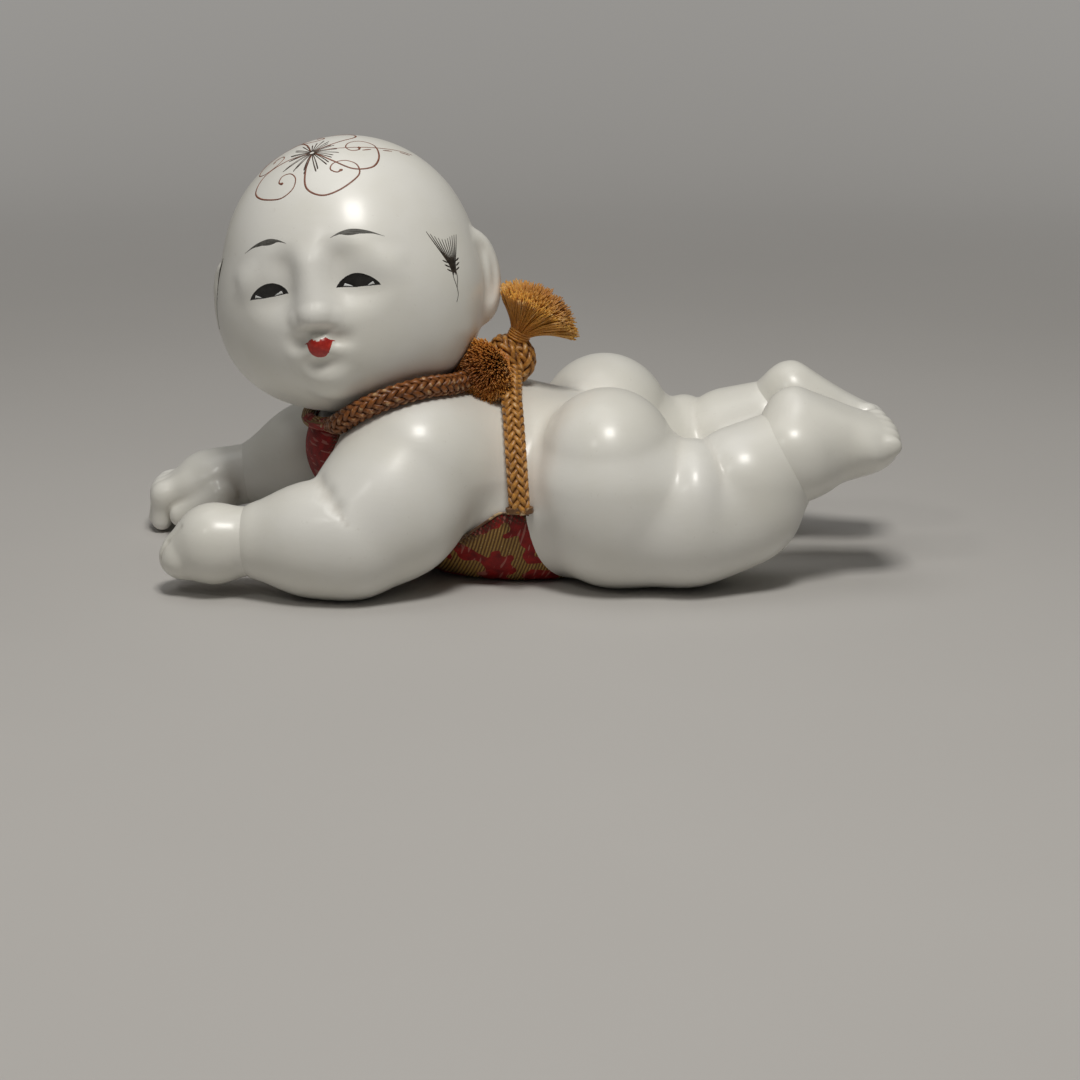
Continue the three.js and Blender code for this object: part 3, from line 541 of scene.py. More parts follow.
# Hands
# Pressed in the same paste and pegged into the wrists. The left is a fist with its finger tips rolled under,
# the right droops, its fingers together on the ground and the thumb beside them.
PALM_OUT = 12  # from the wrist to the middle of the palm
FIST_RADIUS = 8.8
FIST_FRONT_RADIUS = 6.0
ROLLED_FINGERS = (4.4, 6.2, 4.4)  # half sizes
DROOPING_PALM = (10, 8.8, 7)  # half sizes
FINGER_SPACING = 3.7
FINGER_RADII = (3.4, 3.0, 2.4)  # at the knuckle, the bend and the tip
DROOP_WAY = (-0.994, -0.06, -0.089)  # from the right wrist into the palm
FINGER_PLACES = (-1.5, -0.5, 0.5, 1.5)
FINGER_GROOVE = ((0.5, 3.3, 5.5), (-4.5, 3.1, 3.2), (-6.5, 2.8, -1.2), (-4.5, 2.8, -4.8))  # knuckle to tip


def fist(wrist, along):
    """A rounded fist, with three grooves pressed in between its fingers."""
    centre = wrist + along * PALM_OUT + (0, 0, -0.4)
    front = centre + (-5.6, 0.6, -2.2)
    fingers = egg(front + (-2.0, 0.2, -1.0), ROLLED_FINGERS, turned(y=-12))
    thumb = taper(centre + (-1, 7, 1), centre + (-6, 7.2, -2), 3, 2.5)
    neck = taper(wrist + along * 4.4, centre, 7.5, 8.3)
    hand = join(1.4, taper(centre, front, FIST_RADIUS, FIST_FRONT_RADIUS), fingers, thumb, neck)
    for gap in (-1, 0, 1):
        groove = onto(hand, front + np.array(FINGER_GROOVE) * (1, gap, 1) + (0, 0.2, 0))
        for start, end in zip(groove, groove[1:]):
            hand = dent(1.2, hand, taper(start, end, 0.1, 0.1))
    return hand


def drooping_hand(wrist, along):
    """A palm with four bent fingers on the ground and a thumb."""
    centre = wrist + along * PALM_OUT + (0, 0, -1)
    palm = egg(centre, DROOPING_PALM, turned(y=-22))
    at_knuckle, at_bend, at_tip = FINGER_RADII
    fingers = []
    for place in FINGER_PLACES:
        knuckle = centre + (-4.5, 1.0 + place * FINGER_SPACING, -0.8)
        tip = np.array((knuckle[0] - 8 + abs(place), knuckle[1] - place * 0.5, 2.9))
        bend = (tip + knuckle) / 2 + (-2.2, 0, 2.2)
        fingers.append(join(2, taper(knuckle, bend, at_knuckle, at_bend), taper(bend, tip, at_bend, at_tip)))
    thumb = taper(centre + (3, -6.5, -2), centre + (-6, -7.5, -6.4), 4.2, 2.7)
    neck = taper(wrist + along * 3, centre, 7.0, 7.2)
    return join(1.2, join(2.4, palm, join(0.7, *fingers)), thumb, neck)


hand_forms = {
    "left": fist(wrists["left"], forearms["left"]),
    "right": drooping_hand(wrists["right"], np.array(DROOP_WAY)),
}
fine_cell = 0.42
for side, form in hand_forms.items():
    resting = dent(FLOOR_CUT, form, lambda p: p[:, 2])
    hand = add_coat(side + "_hand_coat", resting, [side + "_hand"], fine_cell)
    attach(hand, "body")
    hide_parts(side + "_hand")

# Feet
# Pressed and coated like the hands, and pegged into the ankles with the soles up and flat.
# Each has a row of small toes along its end.
HEEL_RADIUS = 7.1
TREAD_RADIUS = 4.8
SOLE_HALVES = (12, 8.8, 7.2)
TREAD_HALVES = (6.1, 8.5, 4.3)
TOE_PLACES = (-2, -1, 0, 1, 2)
TOE_SPACING = 2.8
TOE_HALVES = (2.3, 1.6, 2.2)
GREAT_TOE_HALVES = (2.3, 2.0, 2.2)
heel = ankle + (4.6, 2.4, 8.6)
SOLE_FACING = np.array((0.165, -0.155, 0.974))  # the way the flat of the sole faces
HEEL_FACING = np.array((0.53, -0.13, 0.838))  # the way the slope from the heel down to it faces
foot_forms = {}
for side, toe_drop, heel_on in (("left", 0, -0.6), ("right", 2.4, 0.8)):  # the right foot points lower
    tread = heel + (15.2, 0, -5.4 - toe_drop)
    sole = (heel + tread) / 2 + (0.9, 0.2, -1.0)
    foot_turn = turned(x=14, y=22 + toe_drop * 3)
    foot = join(
        3,
        taper(ankle + (3.4, -1.0, 1.4), heel + (2.4, 0, -3.6), 10.6, 8.2),
        taper(heel + (heel_on, 0, 0.4), tread, HEEL_RADIUS, TREAD_RADIUS),
        taper(ankle + (9.0, 1.5, 1.0), tread + (1, 0, 0), 7.8, 5.0),
        egg(sole, SOLE_HALVES, foot_turn),
        egg(tread + (0.4, 0, 1.2), TREAD_HALVES, foot_turn),
    )
    tip = turned(y=toe_drop * 3)
    flat_place = heel + tip @ (10.5, 0, 1.3)
    slope_place = heel + tip @ (heel_on + 3.1, 0, 6.5)

    def above_sole(p, tip=tip, flat_place=flat_place, slope_place=slope_place):
        """Negative over the sole: over its flat, and over the slope that leads down to it from the heel."""
        over_flat = (p - flat_place) @ (tip @ SOLE_FACING)
        over_slope = (p - slope_place) @ (tip @ HEEL_FACING)
        return -soft_min(over_flat, over_slope, 5)

    foot = dent(1.5, foot, above_sole)
    toe_row = tread + (4.2, 0.2, 2.5)
    toes = []
    for place in TOE_PLACES:
        toe_place = toe_row + (-0.55 * place - 0.12 * place ** 2, place * TOE_SPACING, place * 0.9)
        toes.append(egg(toe_place, GREAT_TOE_HALVES if place == TOE_PLACES[-1] else TOE_HALVES))
    foot = join(1.6, foot, join(0.8, *toes))
    foot_forms[side] = foot if side == "left" else mirrored(foot)
for side, form in foot_forms.items():
    foot = add_coat(side + "_foot_coat", form, [side + "_foot"], fine_cell)
    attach(foot, "body")
    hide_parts(side + "_foot")

# Head
# Two pressed shells glued at a seam and coated like the body, with pressed ears, on a plug that turns in
# the neck. Eye hollows, nose, lips, dimples and chin are modelled in the coat before it is polished.
eye_hollows = both(egg((10.2, FACE_FRONT - 8.2, -3), (9, 10.4, 6)))
inner_hollows = both(egg((6.4, FACE_FRONT - 3.4, 0.8), (3.6, 4.4, 4.8)))
upper_lids = both(egg((10.4, FACE_FRONT + 6.3, -0.7), (5.8, 2.5, 2.4)))
nose_bridge = taper((0, FACE_FRONT + 2.2, 0.5), (0, FACE_FRONT - 0.3, -8.0), 1.7, 2.1)
nose_tip = egg((0, FACE_FRONT - 1.0, -9.3), (3.0, 2.7, 2.2))
nose_wings = both(ball((3.8, FACE_FRONT + 1.0, -9.7), 1.8))
under_nose = egg((0, FACE_FRONT - 1.9, -12.7), (3.6, 1.8, 0.9))
lip_mound = egg((0, FACE_FRONT + 3, -15.8), (5.6, 3.4, 4.8))
lower_lip = egg((0, FACE_FRONT + 0.8, -16.8), (2.6, 1.5, 1.5))
dimples = both(egg((4.9, FACE_FRONT - 0.7, -14.7), (1.8, 1.2, 1.0)))
lip_fold = egg((0, FACE_FRONT - 0.7, -19.7), (4.2, 1.6, 1.2))
chin = ball((0, FACE_FRONT + 6.5, -22), 4.5)
face = join(6, dent(4, dent(5, round_head, eye_hollows), inner_hollows), nose_bridge)
face = join(4.5, face, upper_lids)
face = join(4, face, lip_mound, chin)
face = dent(1.6, join(1.4, join(1.7, face, nose_tip), nose_wings), under_nose)
face = dent(3.2, join(1.5, face, lower_lip), dimples)
face = dent(3.2, face, lip_fold)


EAR_FLARE = -35  # degrees that the ear turns out from the head
EAR_MIDDLE = (28.4, 4, -5)
EAR_HALVES = (3.4, 6.2, 10.4)


def ear(p):
    """The left ear: a flared oval, its rim rolled forward round a hollow with a fold in it."""
    flare = turned(z=EAR_FLARE)
    middle = np.array(EAR_MIDDLE)
    rim = egg(middle, EAR_HALVES, flare)
    hollow = egg(middle + flare @ (3.6, -1.4, 1.0), (2.6, 4.4, 7.4), flare)
    inner_fold = egg(middle + flare @ (1.0, 1.2, 0.8), (1.7, 1.2, 4.6), flare)
    return join(1.4, dent(1.8, rim, hollow), inner_fold)(p)


FAR_EAR_OFF = (0.7, -0.8, 0)


def far_ear(p):
    """The right ear, which stands off a little further."""
    return ear(p * (-1, 1, 1) - FAR_EAR_OFF)


head_local = join(2.0, face, ear, far_ear)
head_form = in_head_frame(head_local)


def from_head_frame(p):
    return np.asarray(p) @ head_turn.T + head_centre


HEAD_NODES = ["face_shell", "head_back_shell", "left_ear", "right_ear"]
head_cell = 0.55
head_coat = add_coat("head_coat", head_form, HEAD_NODES, head_cell, room=2.5)
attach(head_coat, "head")
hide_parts(*HEAD_NODES)

# Painted face, hair and crown
# Brushed on the polished coat with ink and colour in glue, each mark a thin raised skin of paint with
# tapering ends.
PAINT_LIFT = 0.07
PAINT_SUNK = 0.03  # the edges of the paint, just inside the coat
PAINT_ROOT = -0.14  # the paint's under side, out of sight in the coat


def paint(name, colour, other_colour, gloss):
    """Brushed paint, thinner and paler in streaks."""
    material, shader, place = new_finish(name)
    streak = place.noise(900, 3)
    feed(shader, Base_Color=streak.stepped(0.3, 0.75).tinted(colour, other_colour))
    feed(shader, Roughness=gloss + streak * 0.15, Normal=streak.raised(0.00004, 0.4))
    return material


def add_lofts(name, lofts, material, marks=()):
    """One mesh of closed bars, each given as a run of rings of points."""
    points = []
    faces = []
    count = 0
    for rings in lofts:
        runs, sides = rings.shape[:2]
        points.append(rings.reshape(-1, 3))
        index = count + np.arange(runs * sides).reshape(runs, sides)
        beside = np.roll(index, -1, 1)
        quads = np.stack([index[:-1], beside[:-1], beside[1:], index[1:]], -1).reshape(-1, 4)
        faces.extend(quads.tolist())
        faces.append(index[0][::-1].tolist())
        faces.append(index[-1].tolist())
        count += runs * sides
    return add_mesh(name, np.concatenate(points), faces, material, marks)


def curve_through(stops, count):
    """Evenly shared points on a smooth curve through some stops."""
    stops = np.array(stops, float)
    padded = np.concatenate([2 * stops[:1] - stops[1:2], stops, 2 * stops[-1:] - stops[-2:-1]])
    place = np.linspace(0, len(stops) - 1, count)
    start = np.minimum(place.astype(int), len(stops) - 2)
    t = (place - start)[:, None]
    a, b, c, d = [padded[start + n] for n in range(4)]
    return b + 0.5 * t * (c - a + t * (2 * a - 5 * b + 4 * c - d + t * (3 * (b - c) + d - a)))


CAST_ROUNDS = 60


def cast(form, starts, direction):
    """Where lines from some starts meet a form."""
    p = np.array(starts, float)
    for _ in range(CAST_ROUNDS):
        p = p + form(p)[:, None] * 0.8 * np.asarray(direction)
    return p


def brush_stroke(path, widths):
    """A bar of paint along a path on the head, as wide as given at each point."""
    middle = onto(head_local, path, 3)
    out = unit(slope_of(head_local, middle))
    along = unit(np.gradient(middle, axis=0))
    across = np.cross(out, along) * np.asarray(widths)[:, None] / 2
    left = onto(head_local, middle - across, 2) - out * PAINT_SUNK
    right = onto(head_local, middle + across, 2) - out * PAINT_SUNK
    rings = np.stack([left, middle + out * PAINT_LIFT, right, middle + out * PAINT_ROOT], 1)
    return from_head_frame(rings)


def painted_patch(xs, lows, highs, lift=PAINT_LIFT, across=9):
    """A filled shape on the face, given by its lower and upper edge at each place from side to side."""
    share = np.linspace(0, 1, across)
    x = np.repeat(np.asarray(xs)[:, None], across, 1)
    z = np.asarray(lows)[:, None] + (np.asarray(highs) - np.asarray(lows))[:, None] * share
    starts = np.stack([x, np.full_like(x, FACE_FRONT - 8), z], -1).reshape(-1, 3)
    skin = cast(head_local, starts, (0, 1, 0))
    out = unit(slope_of(head_local, skin))
    swell = np.tile(np.minimum(1, 4 * np.minimum(share, 1 - share)), len(xs))[:, None]
    top = (skin + out * (lift * swell - 0.02)).reshape(len(xs), across, 3)
    root = (skin + out * PAINT_ROOT).reshape(len(xs), across, 3)
    return from_head_frame(np.concatenate([top, root[:, ::-1]], 1))


def add_paint(name, lofts, material):
    piece = add_lofts(name, lofts, material)
    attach(piece, "head")


EYE_INNER = 5.0
EYE_OUTER = 14.3
EYE_LOW = -3.8
EYE_TALL = 3.4
EYE_POINTS = 41
EYE_WHITES = ((0.15, 0.36, 1), (0.70, 0.86, -1))  # start and end along the eye, and which end is tall
FAR_EYE_OUT = 1.0  # the right eye is painted a little further out
eye_black = []
eye_white = []
for side in (1, -1):
    share = np.linspace(0, 1, EYE_POINTS)
    eye_start = EYE_INNER + (FAR_EYE_OUT if side < 0 else 0)
    eye_wide = EYE_OUTER - EYE_INNER
    xs = side * (eye_start + eye_wide * share)
    low = EYE_LOW - 0.45 * share - 0.35 * np.sin(math.pi * share)
    arch = np.sin(math.pi * share ** 0.92)
    eye_black.append(painted_patch(xs, low, low + 0.06 + EYE_TALL * np.maximum(arch, 0) ** 0.72))
    for start, end, inward in EYE_WHITES:
        run = np.linspace(0, 1, 13)
        tall = 0.85 * (1 - run if inward > 0 else run) ** 0.8
        tall = tall * np.minimum(1, 6 * np.minimum(run, 1 - run) + 0.1)
        white_xs = side * (eye_start + eye_wide * (start + (end - start) * run))
        base = np.interp(start + (end - start) * run, share, low) + 0.36
        eye_white.append(painted_patch(white_xs, base, base + 0.05 + tall, 0.13, 5))
add_paint("painted_eyes", eye_black, paint("eye_ink", (0.010, 0.009, 0.008), (0.022, 0.020, 0.018), 0.22))
add_paint("painted_eye_whites", eye_white, paint("eye_white", (0.70, 0.72, 0.72), (0.80, 0.80, 0.78), 0.3))

# Each brow is four strokes. A stroke has its drop below the brow's top line, its start and end along it,
# and its width.
BROW_STOPS = ((5.0, 6.9), (7.2, 7.8), (9.6, 8.1), (12.7, 7.4), (15.9, 5.9))
BROW_STROKES = (
    (0, 0.0, 1.0, 0.55),
    (0.3, 0.06, 0.97, 0.75),
    (0.65, 0.14, 0.9, 0.8),
    (1.0, 0.2, 0.76, 0.5),
)
BROW_POINTS = 40
brows = []
for side in (1, -1):
    for drop, start, end, wide in BROW_STROKES:
        share = np.linspace(start, end, BROW_POINTS)
        run = np.linspace(0, 1, BROW_POINTS)
        path = curve_through(BROW_STOPS, 101)[np.round(share * 100).astype(int)]
        path = path - np.stack([0 * run, drop * np.sin(math.pi * run)], 1)
        starts = np.stack([side * path[:, 0], np.full(BROW_POINTS, FACE_FRONT - 6.0), path[:, 1]], 1)
        width = wide * np.sin(math.pi * np.linspace(0.03, 0.98, BROW_POINTS) ** 0.85)
        brows.append(brush_stroke(cast(head_local, starts, (0, 1, 0)), width))
add_paint("painted_brows", brows, paint("brow_ink", (0.075, 0.072, 0.062), (0.15, 0.145, 0.13), 0.45))

LIP_HALF_WIDTH = 3.35
LIP_TOP = -14.55
LIP_BOW = 0.75  # how far the two peaks of the upper lip stand up
LIP_LINE = -15.0
LIP_DROP = 3.25
share = np.linspace(-1, 1, 41)
bow = LIP_TOP + LIP_BOW * np.exp(-((np.abs(share) - 0.48) / 0.3) ** 2) - 0.35 * share ** 2
under = LIP_LINE - LIP_DROP * np.maximum(1 - np.abs(share / 0.84) ** 2.8, 0) ** 0.75
lips = [painted_patch(LIP_HALF_WIDTH * share, np.minimum(under, bow - 0.12), bow, 0.1, 13)]
add_paint("painted_lips", lips, paint("lip_red", (0.36, 0.018, 0.014), (0.52, 0.04, 0.025), 0.25))

# The hair at each temple: a fan of strokes that meet in a thick base, with short bristles and a thin tail.
tuft_strokes = []
TUFT_BASE = np.array((26.1, -12.5, -1.5))
TUFT_BACK = unit(np.array((0.47, 0.88, 0.0)))
TUFT_STROKES = 11
BASE_STROKES = 7
BRISTLES = ((-1.9, 0.3), (-1.6, -0.7), (-1.2, -1.7), (2.0, 0.5), (1.7, -0.5), (1.3, -1.5))
LONG_TAIL = ((-0.6, -1.8), (-0.4, -3.6), (0.1, -5.4), (0.2, -6.8), (-0.4, -8.2))
SHORT_TAIL = ((0.7, -1.8), (0.6, -3.6), (0.1, -5.4))
TAIL_POINTS = 24
FAR_TUFT_BACK = 3.5  # the right one is painted a little further back


def at_temple(side, back, up):
    """Places on the skin, from the base of the tuft back towards the ear and up."""
    back = back + (FAR_TUFT_BACK if side < 0 else 0)
    p = TUFT_BASE + np.outer(back, TUFT_BACK) + np.outer(up, (0, 0, 1))
    return onto(head_local, p * (side, 1, 1))


for side in (1, -1):
    for n in range(TUFT_STROKES):
        place = n / (TUFT_STROKES - 1)
        run = np.linspace(0, 1, 22)
        top = 5.5 + 1.8 * (1 - place) ** 4 + 0.6 * place ** 4 + 0.35 * math.cos(7 * n)
        back = (-1.0 + 2.0 * place) * (1 - run) + (-4.7 + 9.6 * place) * run - 0.5 * run * (1 - run)
        path = at_temple(side, back, -0.2 + (top + 0.2) * run)
        tuft_strokes.append(brush_stroke(path, 0.48 - 0.24 * run ** 3))
    for lean in np.linspace(-1, 1, BASE_STROKES):
        run = np.linspace(0, 1, 12)
        path = at_temple(side, lean * (0.35 + 0.8 * run), -2.2 + 3.4 * run - 0.5 * lean ** 2)
        tuft_strokes.append(brush_stroke(path, 0.62 * np.sin(math.pi * (0.1 + 0.8 * run)) ** 0.5))
    for back, up in BRISTLES:
        run = np.linspace(-1, 1, 9)
        path = at_temple(side, back + 0.7 * run, up + 0.35 * run * np.sign(back))
        tuft_strokes.append(brush_stroke(path, 0.5 * (1.02 - run ** 2) ** 0.5))
    for tail in (LONG_TAIL, SHORT_TAIL):
        width = 0.32 * np.sin(math.pi * np.linspace(0.08, 0.95, TAIL_POINTS)) ** 0.5
        tuft_strokes.append(brush_stroke(at_temple(side, *curve_through(tail, TAIL_POINTS).T), width))
hair_ink = paint("hair_ink", (0.020, 0.014, 0.009), (0.06, 0.045, 0.03), 0.4)
add_paint("painted_temple_hair", tuft_strokes, hair_ink)

# The flower on the crown: five petals, each one line that loops out and curls in, stamens and a tendril.
FLOWER_CENTRE = np.array((-0.9, -12.8, 25.9))
FLOWER_OUT = unit(np.array((0.0, -0.46, 0.88)))
FLOWER_ASIDE = np.array((1.0, 0, 0))
FLOWER_AHEAD = np.cross(FLOWER_ASIDE, FLOWER_OUT)
PETALS = 5
PETAL_START = 60  # degrees round the flower to the first petal
PETAL_POINTS = 90
PETAL_SIZE = 1.12
PETAL_FULL = 1.15  # how much wider than the line below
PETAL_LEANS = (-6, 4, 2, 0, 9)  # degrees, as a hand paints them
PETAL_LINE = (
    (0.8, 0.5), (4.5, 3.2), (8.6, 5.0), (12.0, 3.6), (12.8, 0.2), (11.4, -3.6),
    (8.8, -4.6), (6.8, -3.4), (6.4, -1.4), (7.6, -0.2), (9.0, -0.8), (8.8, -1.9),
)


def on_crown(aside, ahead):
    p = FLOWER_CENTRE + FLOWER_OUT * 4 + np.outer(aside, FLOWER_ASIDE) + np.outer(ahead, FLOWER_AHEAD)
    return cast(head_local, p, -FLOWER_OUT)


petal_lines = []
for petal in range(PETALS):
    angle = math.radians(PETAL_START + 360 / PETALS * petal + PETAL_LEANS[petal])
    line = curve_through(PETAL_LINE, PETAL_POINTS) * (PETAL_SIZE, PETAL_SIZE * PETAL_FULL)
    aside = line[:, 0] * math.cos(angle) - line[:, 1] * math.sin(angle)
    ahead = line[:, 0] * math.sin(angle) + line[:, 1] * math.cos(angle)
    run = np.linspace(0, 1, PETAL_POINTS)
    width = 0.52 + 0.12 * np.sin(7 * run) + 0.55 * np.exp(-((run - 0.975) / 0.02) ** 2)
    petal_lines.append(brush_stroke(on_crown(aside, ahead), width * np.minimum(1, 40 * (1.012 - run))))
TENDRIL = ((1, -0.4), (8, -2.0), (14, -5.0), (19, -9.6))
TENDRIL_POINTS = 50
TENDRIL_LEAVES = ((11.5, -2.2), (15.2, -4.8), (18.0, -7.6))
width = 0.5 * np.sin(math.pi * np.linspace(0.1, 0.96, TENDRIL_POINTS))
petal_lines.append(brush_stroke(on_crown(*curve_through(TENDRIL, TENDRIL_POINTS).T), width))
for aside, ahead in TENDRIL_LEAVES:
    run = np.linspace(-1, 1, 9)
    path = on_crown(aside + 0.8 * run, ahead - 0.7 * run)
    petal_lines.append(brush_stroke(path, 0.6 * (1.03 - run ** 2) ** 0.5))
flower_red = paint("flower_red", (0.18, 0.055, 0.030), (0.30, 0.12, 0.07), 0.4)
add_paint("painted_crown_flower", petal_lines, flower_red)

stamens = []
STAMENS = 30
for n in range(STAMENS):
    angle = 2 * math.pi * (n + 0.5) / STAMENS
    reach = 5.4 + 1.6 * max(math.sin(angle), 0) + 0.7 * math.cos(5 * angle) + 0.5 * math.sin(11 * n)
    run = np.linspace(0, 1, 14)
    out = 0.5 + (reach - 0.5) * run
    bend = angle + 0.10 * math.sin(3 * n) * run
    width = 0.34 + 0.2 * run ** 3 - 0.2 * (run > 0.99)
    stamens.append(brush_stroke(on_crown(out * np.cos(bend), out * np.sin(bend)), width))
add_paint("painted_stamens", stamens, paint("stamen_ink", (0.03, 0.018, 0.012), (0.10, 0.06, 0.04), 0.4))

# Bib
# A diamond of silk brocade, red with leaves in gold thread, laid under chest and belly and glued there at
# its edge. Its side corners come up the flanks to the waist cord, and a turned edge of dark thread runs
# all round it.
BIB_UNDER = 0.25  # the glue under the cloth
BIB_THICK = 0.5
BIB_ROWS = 110
BIB_COLUMNS = 61
TOP_EDGE_RISE = 0.27  # how much the top edge rises along the cord
NET_WIDTH = 5  # of the dark net along the edge
bib_row = np.linspace(0, 1, BIB_ROWS)
axis_x = np.interp(bib_row, (0, 0.12, 0.75, 1), (chest[0] + 36, chest[0] + 33, chest[0] - 4, chest[0] - 9))
axis_z = np.interp(bib_row, (0, 0.75, 1), (20, 22, 27.5))
swing = np.radians(np.interp(bib_row, (0, 0.15, 0.62, 1), (48, 0, 0, -112)))
BIB_EDGE = (
    (0, 4), (0.06, 18), (0.122, 36), (0.185, 51), (0.226, 65), (0.26, 76), (0.29, 84),
    (0.41, 84), (0.491, 76), (0.58, 66), (0.677, 52), (0.73, 48), (0.84, 56), (1, 58),
)  # how far along the bib, and how many degrees it reaches round the trunk to each side


def eased(values, rounds):
    """A run of values, each drawn towards its neighbours some times over."""
    for _ in range(rounds):
        values[1:-1] = values[1:-1] * 0.5 + (values[:-2] + values[2:]) * 0.25
    return values


half_swing = eased(np.radians(np.interp(bib_row, *zip(*BIB_EDGE))), 3)
across = np.linspace(-1, 1, BIB_COLUMNS)
start = np.stack([axis_x, np.zeros(BIB_ROWS), axis_z], 1)
down = np.stack([np.sin(swing), np.zeros(BIB_ROWS), -np.cos(swing)], 1)
reach = half_swing[:, None] * across
ways = np.cos(reach)[..., None] * down[:, None] + np.sin(reach)[..., None] * np.array((0, 1, 0))
ways[..., 2] += TOP_EDGE_RISE * np.outer(np.clip(bib_row * 4 - 3, 0, 1), across ** 2)
ways = unit(ways).reshape(-1, 3)


def led_out(form, p, ways, gap):
    """Points moved along their ways until they lie at some distance from a form."""
    for _ in range(CAST_ROUNDS):
        p = p + ways * ((gap - form(p)) * 0.7)[:, None]
    return p


def on_trunk(gap):
    """The bib's grid at some distance out from the trunk."""
    p = np.repeat(start[:, None], BIB_COLUMNS, 1).reshape(-1, 3) + ways * 8
    return led_out(lifted_trunk, p, ways, gap).reshape(BIB_ROWS, BIB_COLUMNS, 3)


bib_inner = on_trunk(BIB_UNDER)
bib_outer = on_trunk(BIB_UNDER + BIB_THICK)
steps_along = np.linalg.norm(np.diff(bib_outer, axis=0), axis=-1)
steps_across = np.linalg.norm(np.diff(bib_outer, axis=1), axis=-1)
along_mm = np.concatenate([np.zeros((1, BIB_COLUMNS)), np.cumsum(steps_along, 0)])
along_mm = np.repeat(along_mm[:, BIB_COLUMNS // 2:BIB_COLUMNS // 2 + 1], BIB_COLUMNS, 1)
across_mm = np.concatenate([np.zeros((BIB_ROWS, 1)), np.cumsum(steps_across, 1)], 1)
across_mm -= across_mm[:, BIB_COLUMNS // 2:BIB_COLUMNS // 2 + 1]
from_edge = np.abs(across_mm).max(1, keepdims=True) - np.abs(across_mm)
near_edge = np.clip(1 - from_edge / NET_WIDTH, 0, 1)
bib_length = float(along_mm.max())
SATIN_RED = (0.36, 0.012, 0.010)
SATIN_DARK = (0.12, 0.003, 0.003)
PALE_STROKE = (0.46, 0.20, 0.16)
GOLD_THREAD = (0.47, 0.28, 0.075)
GOLD_DARK = (0.075, 0.022, 0.006)
NET_BROWN = (0.05, 0.022, 0.010)
PAINTED_GLINT = (0.80, 0.66, 0.40)
RIB_STEP = 0.7  # from one gold thread to the next


def brocade():
    """Deep red satin with leaves in floats of gold thread, pale strokes, a dark net near the edge, and
    painted glints.
    """
    material, shader, place = new_finish("brocade")
    along = place.mark("along")
    over = place.mark("across")
    edge = place.mark("edge")
    flat = place.node("CombineXYZ", None, {"X": along, "Y": over, "Z": 0.0})
    drift = flat.node("TexNoise", None, {"Vector": flat, "Scale": 0.16, "Detail": 1.0}, 1)
    drift = flat.node("VectorMath", {"operation": "SCALE"}, {0: drift, "Scale": 14.0})
    wander = flat.node("VectorMath", {"operation": "ADD"}, {0: flat, 1: drift})
    wander_along = wander.node("SeparateXYZ", None, {"Vector": wander}, 0)
    wander_over = wander.node("SeparateXYZ", None, {"Vector": wander}, 1)
    ripple = flat.maths("SINE", (wander_along * 0.8 - wander_over * 0.6) * (2 * math.pi / 15)) * 1.7
    leaf = flat.maths("SINE", (wander_along * 0.5 + wander_over * 0.86) * (2 * math.pi / 13) + ripple)
    throat = along.stepped(bib_length - 15, bib_length - 12)
    gold = leaf.stepped(-0.12, -0.06) * (1 - throat)
    slant = along * 0.97 - over * 0.24
    line = slant * (2 * math.pi / RIB_STEP) + flat.noise(1.2, 1) * 1.4
    rib = flat.maths("SINE", line) * 0.5 + 0.5
    cross_rib = flat.maths("SINE", (along * 0.55 + over * 0.84) * (2 * math.pi / 1.1)) * 0.5 + 0.5
    stroke_place = flat.node("CombineXYZ", None, {"X": slant * 1.5, "Y": over * 0.22, "Z": 0.0})
    stroke = stroke_place.noise(1.0, 0).stepped(0.64, 0.67)
    cloud = flat.noise(0.5, 3)
    satin = flat.noise(7, 2)
    red = (cloud * 0.7 + satin * 0.3).stepped(0.3, 0.7).tinted(SATIN_DARK, SATIN_RED)
    red = (stroke * 0.6).tinted(red, PALE_STROKE)
    gold_thread = (rib * 0.85 + cloud * 0.15).tinted(GOLD_DARK, GOLD_THREAD)
    cloth = gold.tinted(red, gold_thread)
    net = edge.stepped(0.25, 0.75) * (rib * 0.6 + cross_rib * 0.6).stepped(0.3, 0.7)
    cloth = (net * 0.85).tinted(cloth, NET_BROWN)
    # Painted glints: bright flecks put in the colour on the gold and the edge net, as highlights.
    painted_glint = flat.noise(2.6, 2).stepped(0.64, 0.68) * (gold + edge).limited() * rib
    feed(shader, Base_Color=(painted_glint * 0.75).tinted(cloth, PAINTED_GLINT), Specular_IOR_Level=0.3)
    feed(shader, Roughness=0.62 - gold * rib * 0.2 - painted_glint * 0.2)
    feed(shader, Normal=(rib * gold + satin * 0.3).raised(0.0002, 0.7))
    return material


def both_faces(outer, inner):
    """What goes round the cloth at each row: its inner face one way and its outer face back."""
    return np.concatenate([outer, inner[:, ::-1]], 1)[:, ::-1]


bib_marks = []
for mark, values in (("along", along_mm), ("across", across_mm), ("edge", near_edge)):
    bib_marks.append((mark, both_faces(values, values).ravel()))
bib_cloth = brocade()
bib = add_lofts("bib", [both_faces(bib_outer, bib_inner)], bib_cloth, bib_marks)
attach(bib, "body")
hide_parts("bib_panel")


PAINTED_SILK_GLINT = (0.90, 0.66, 0.36)


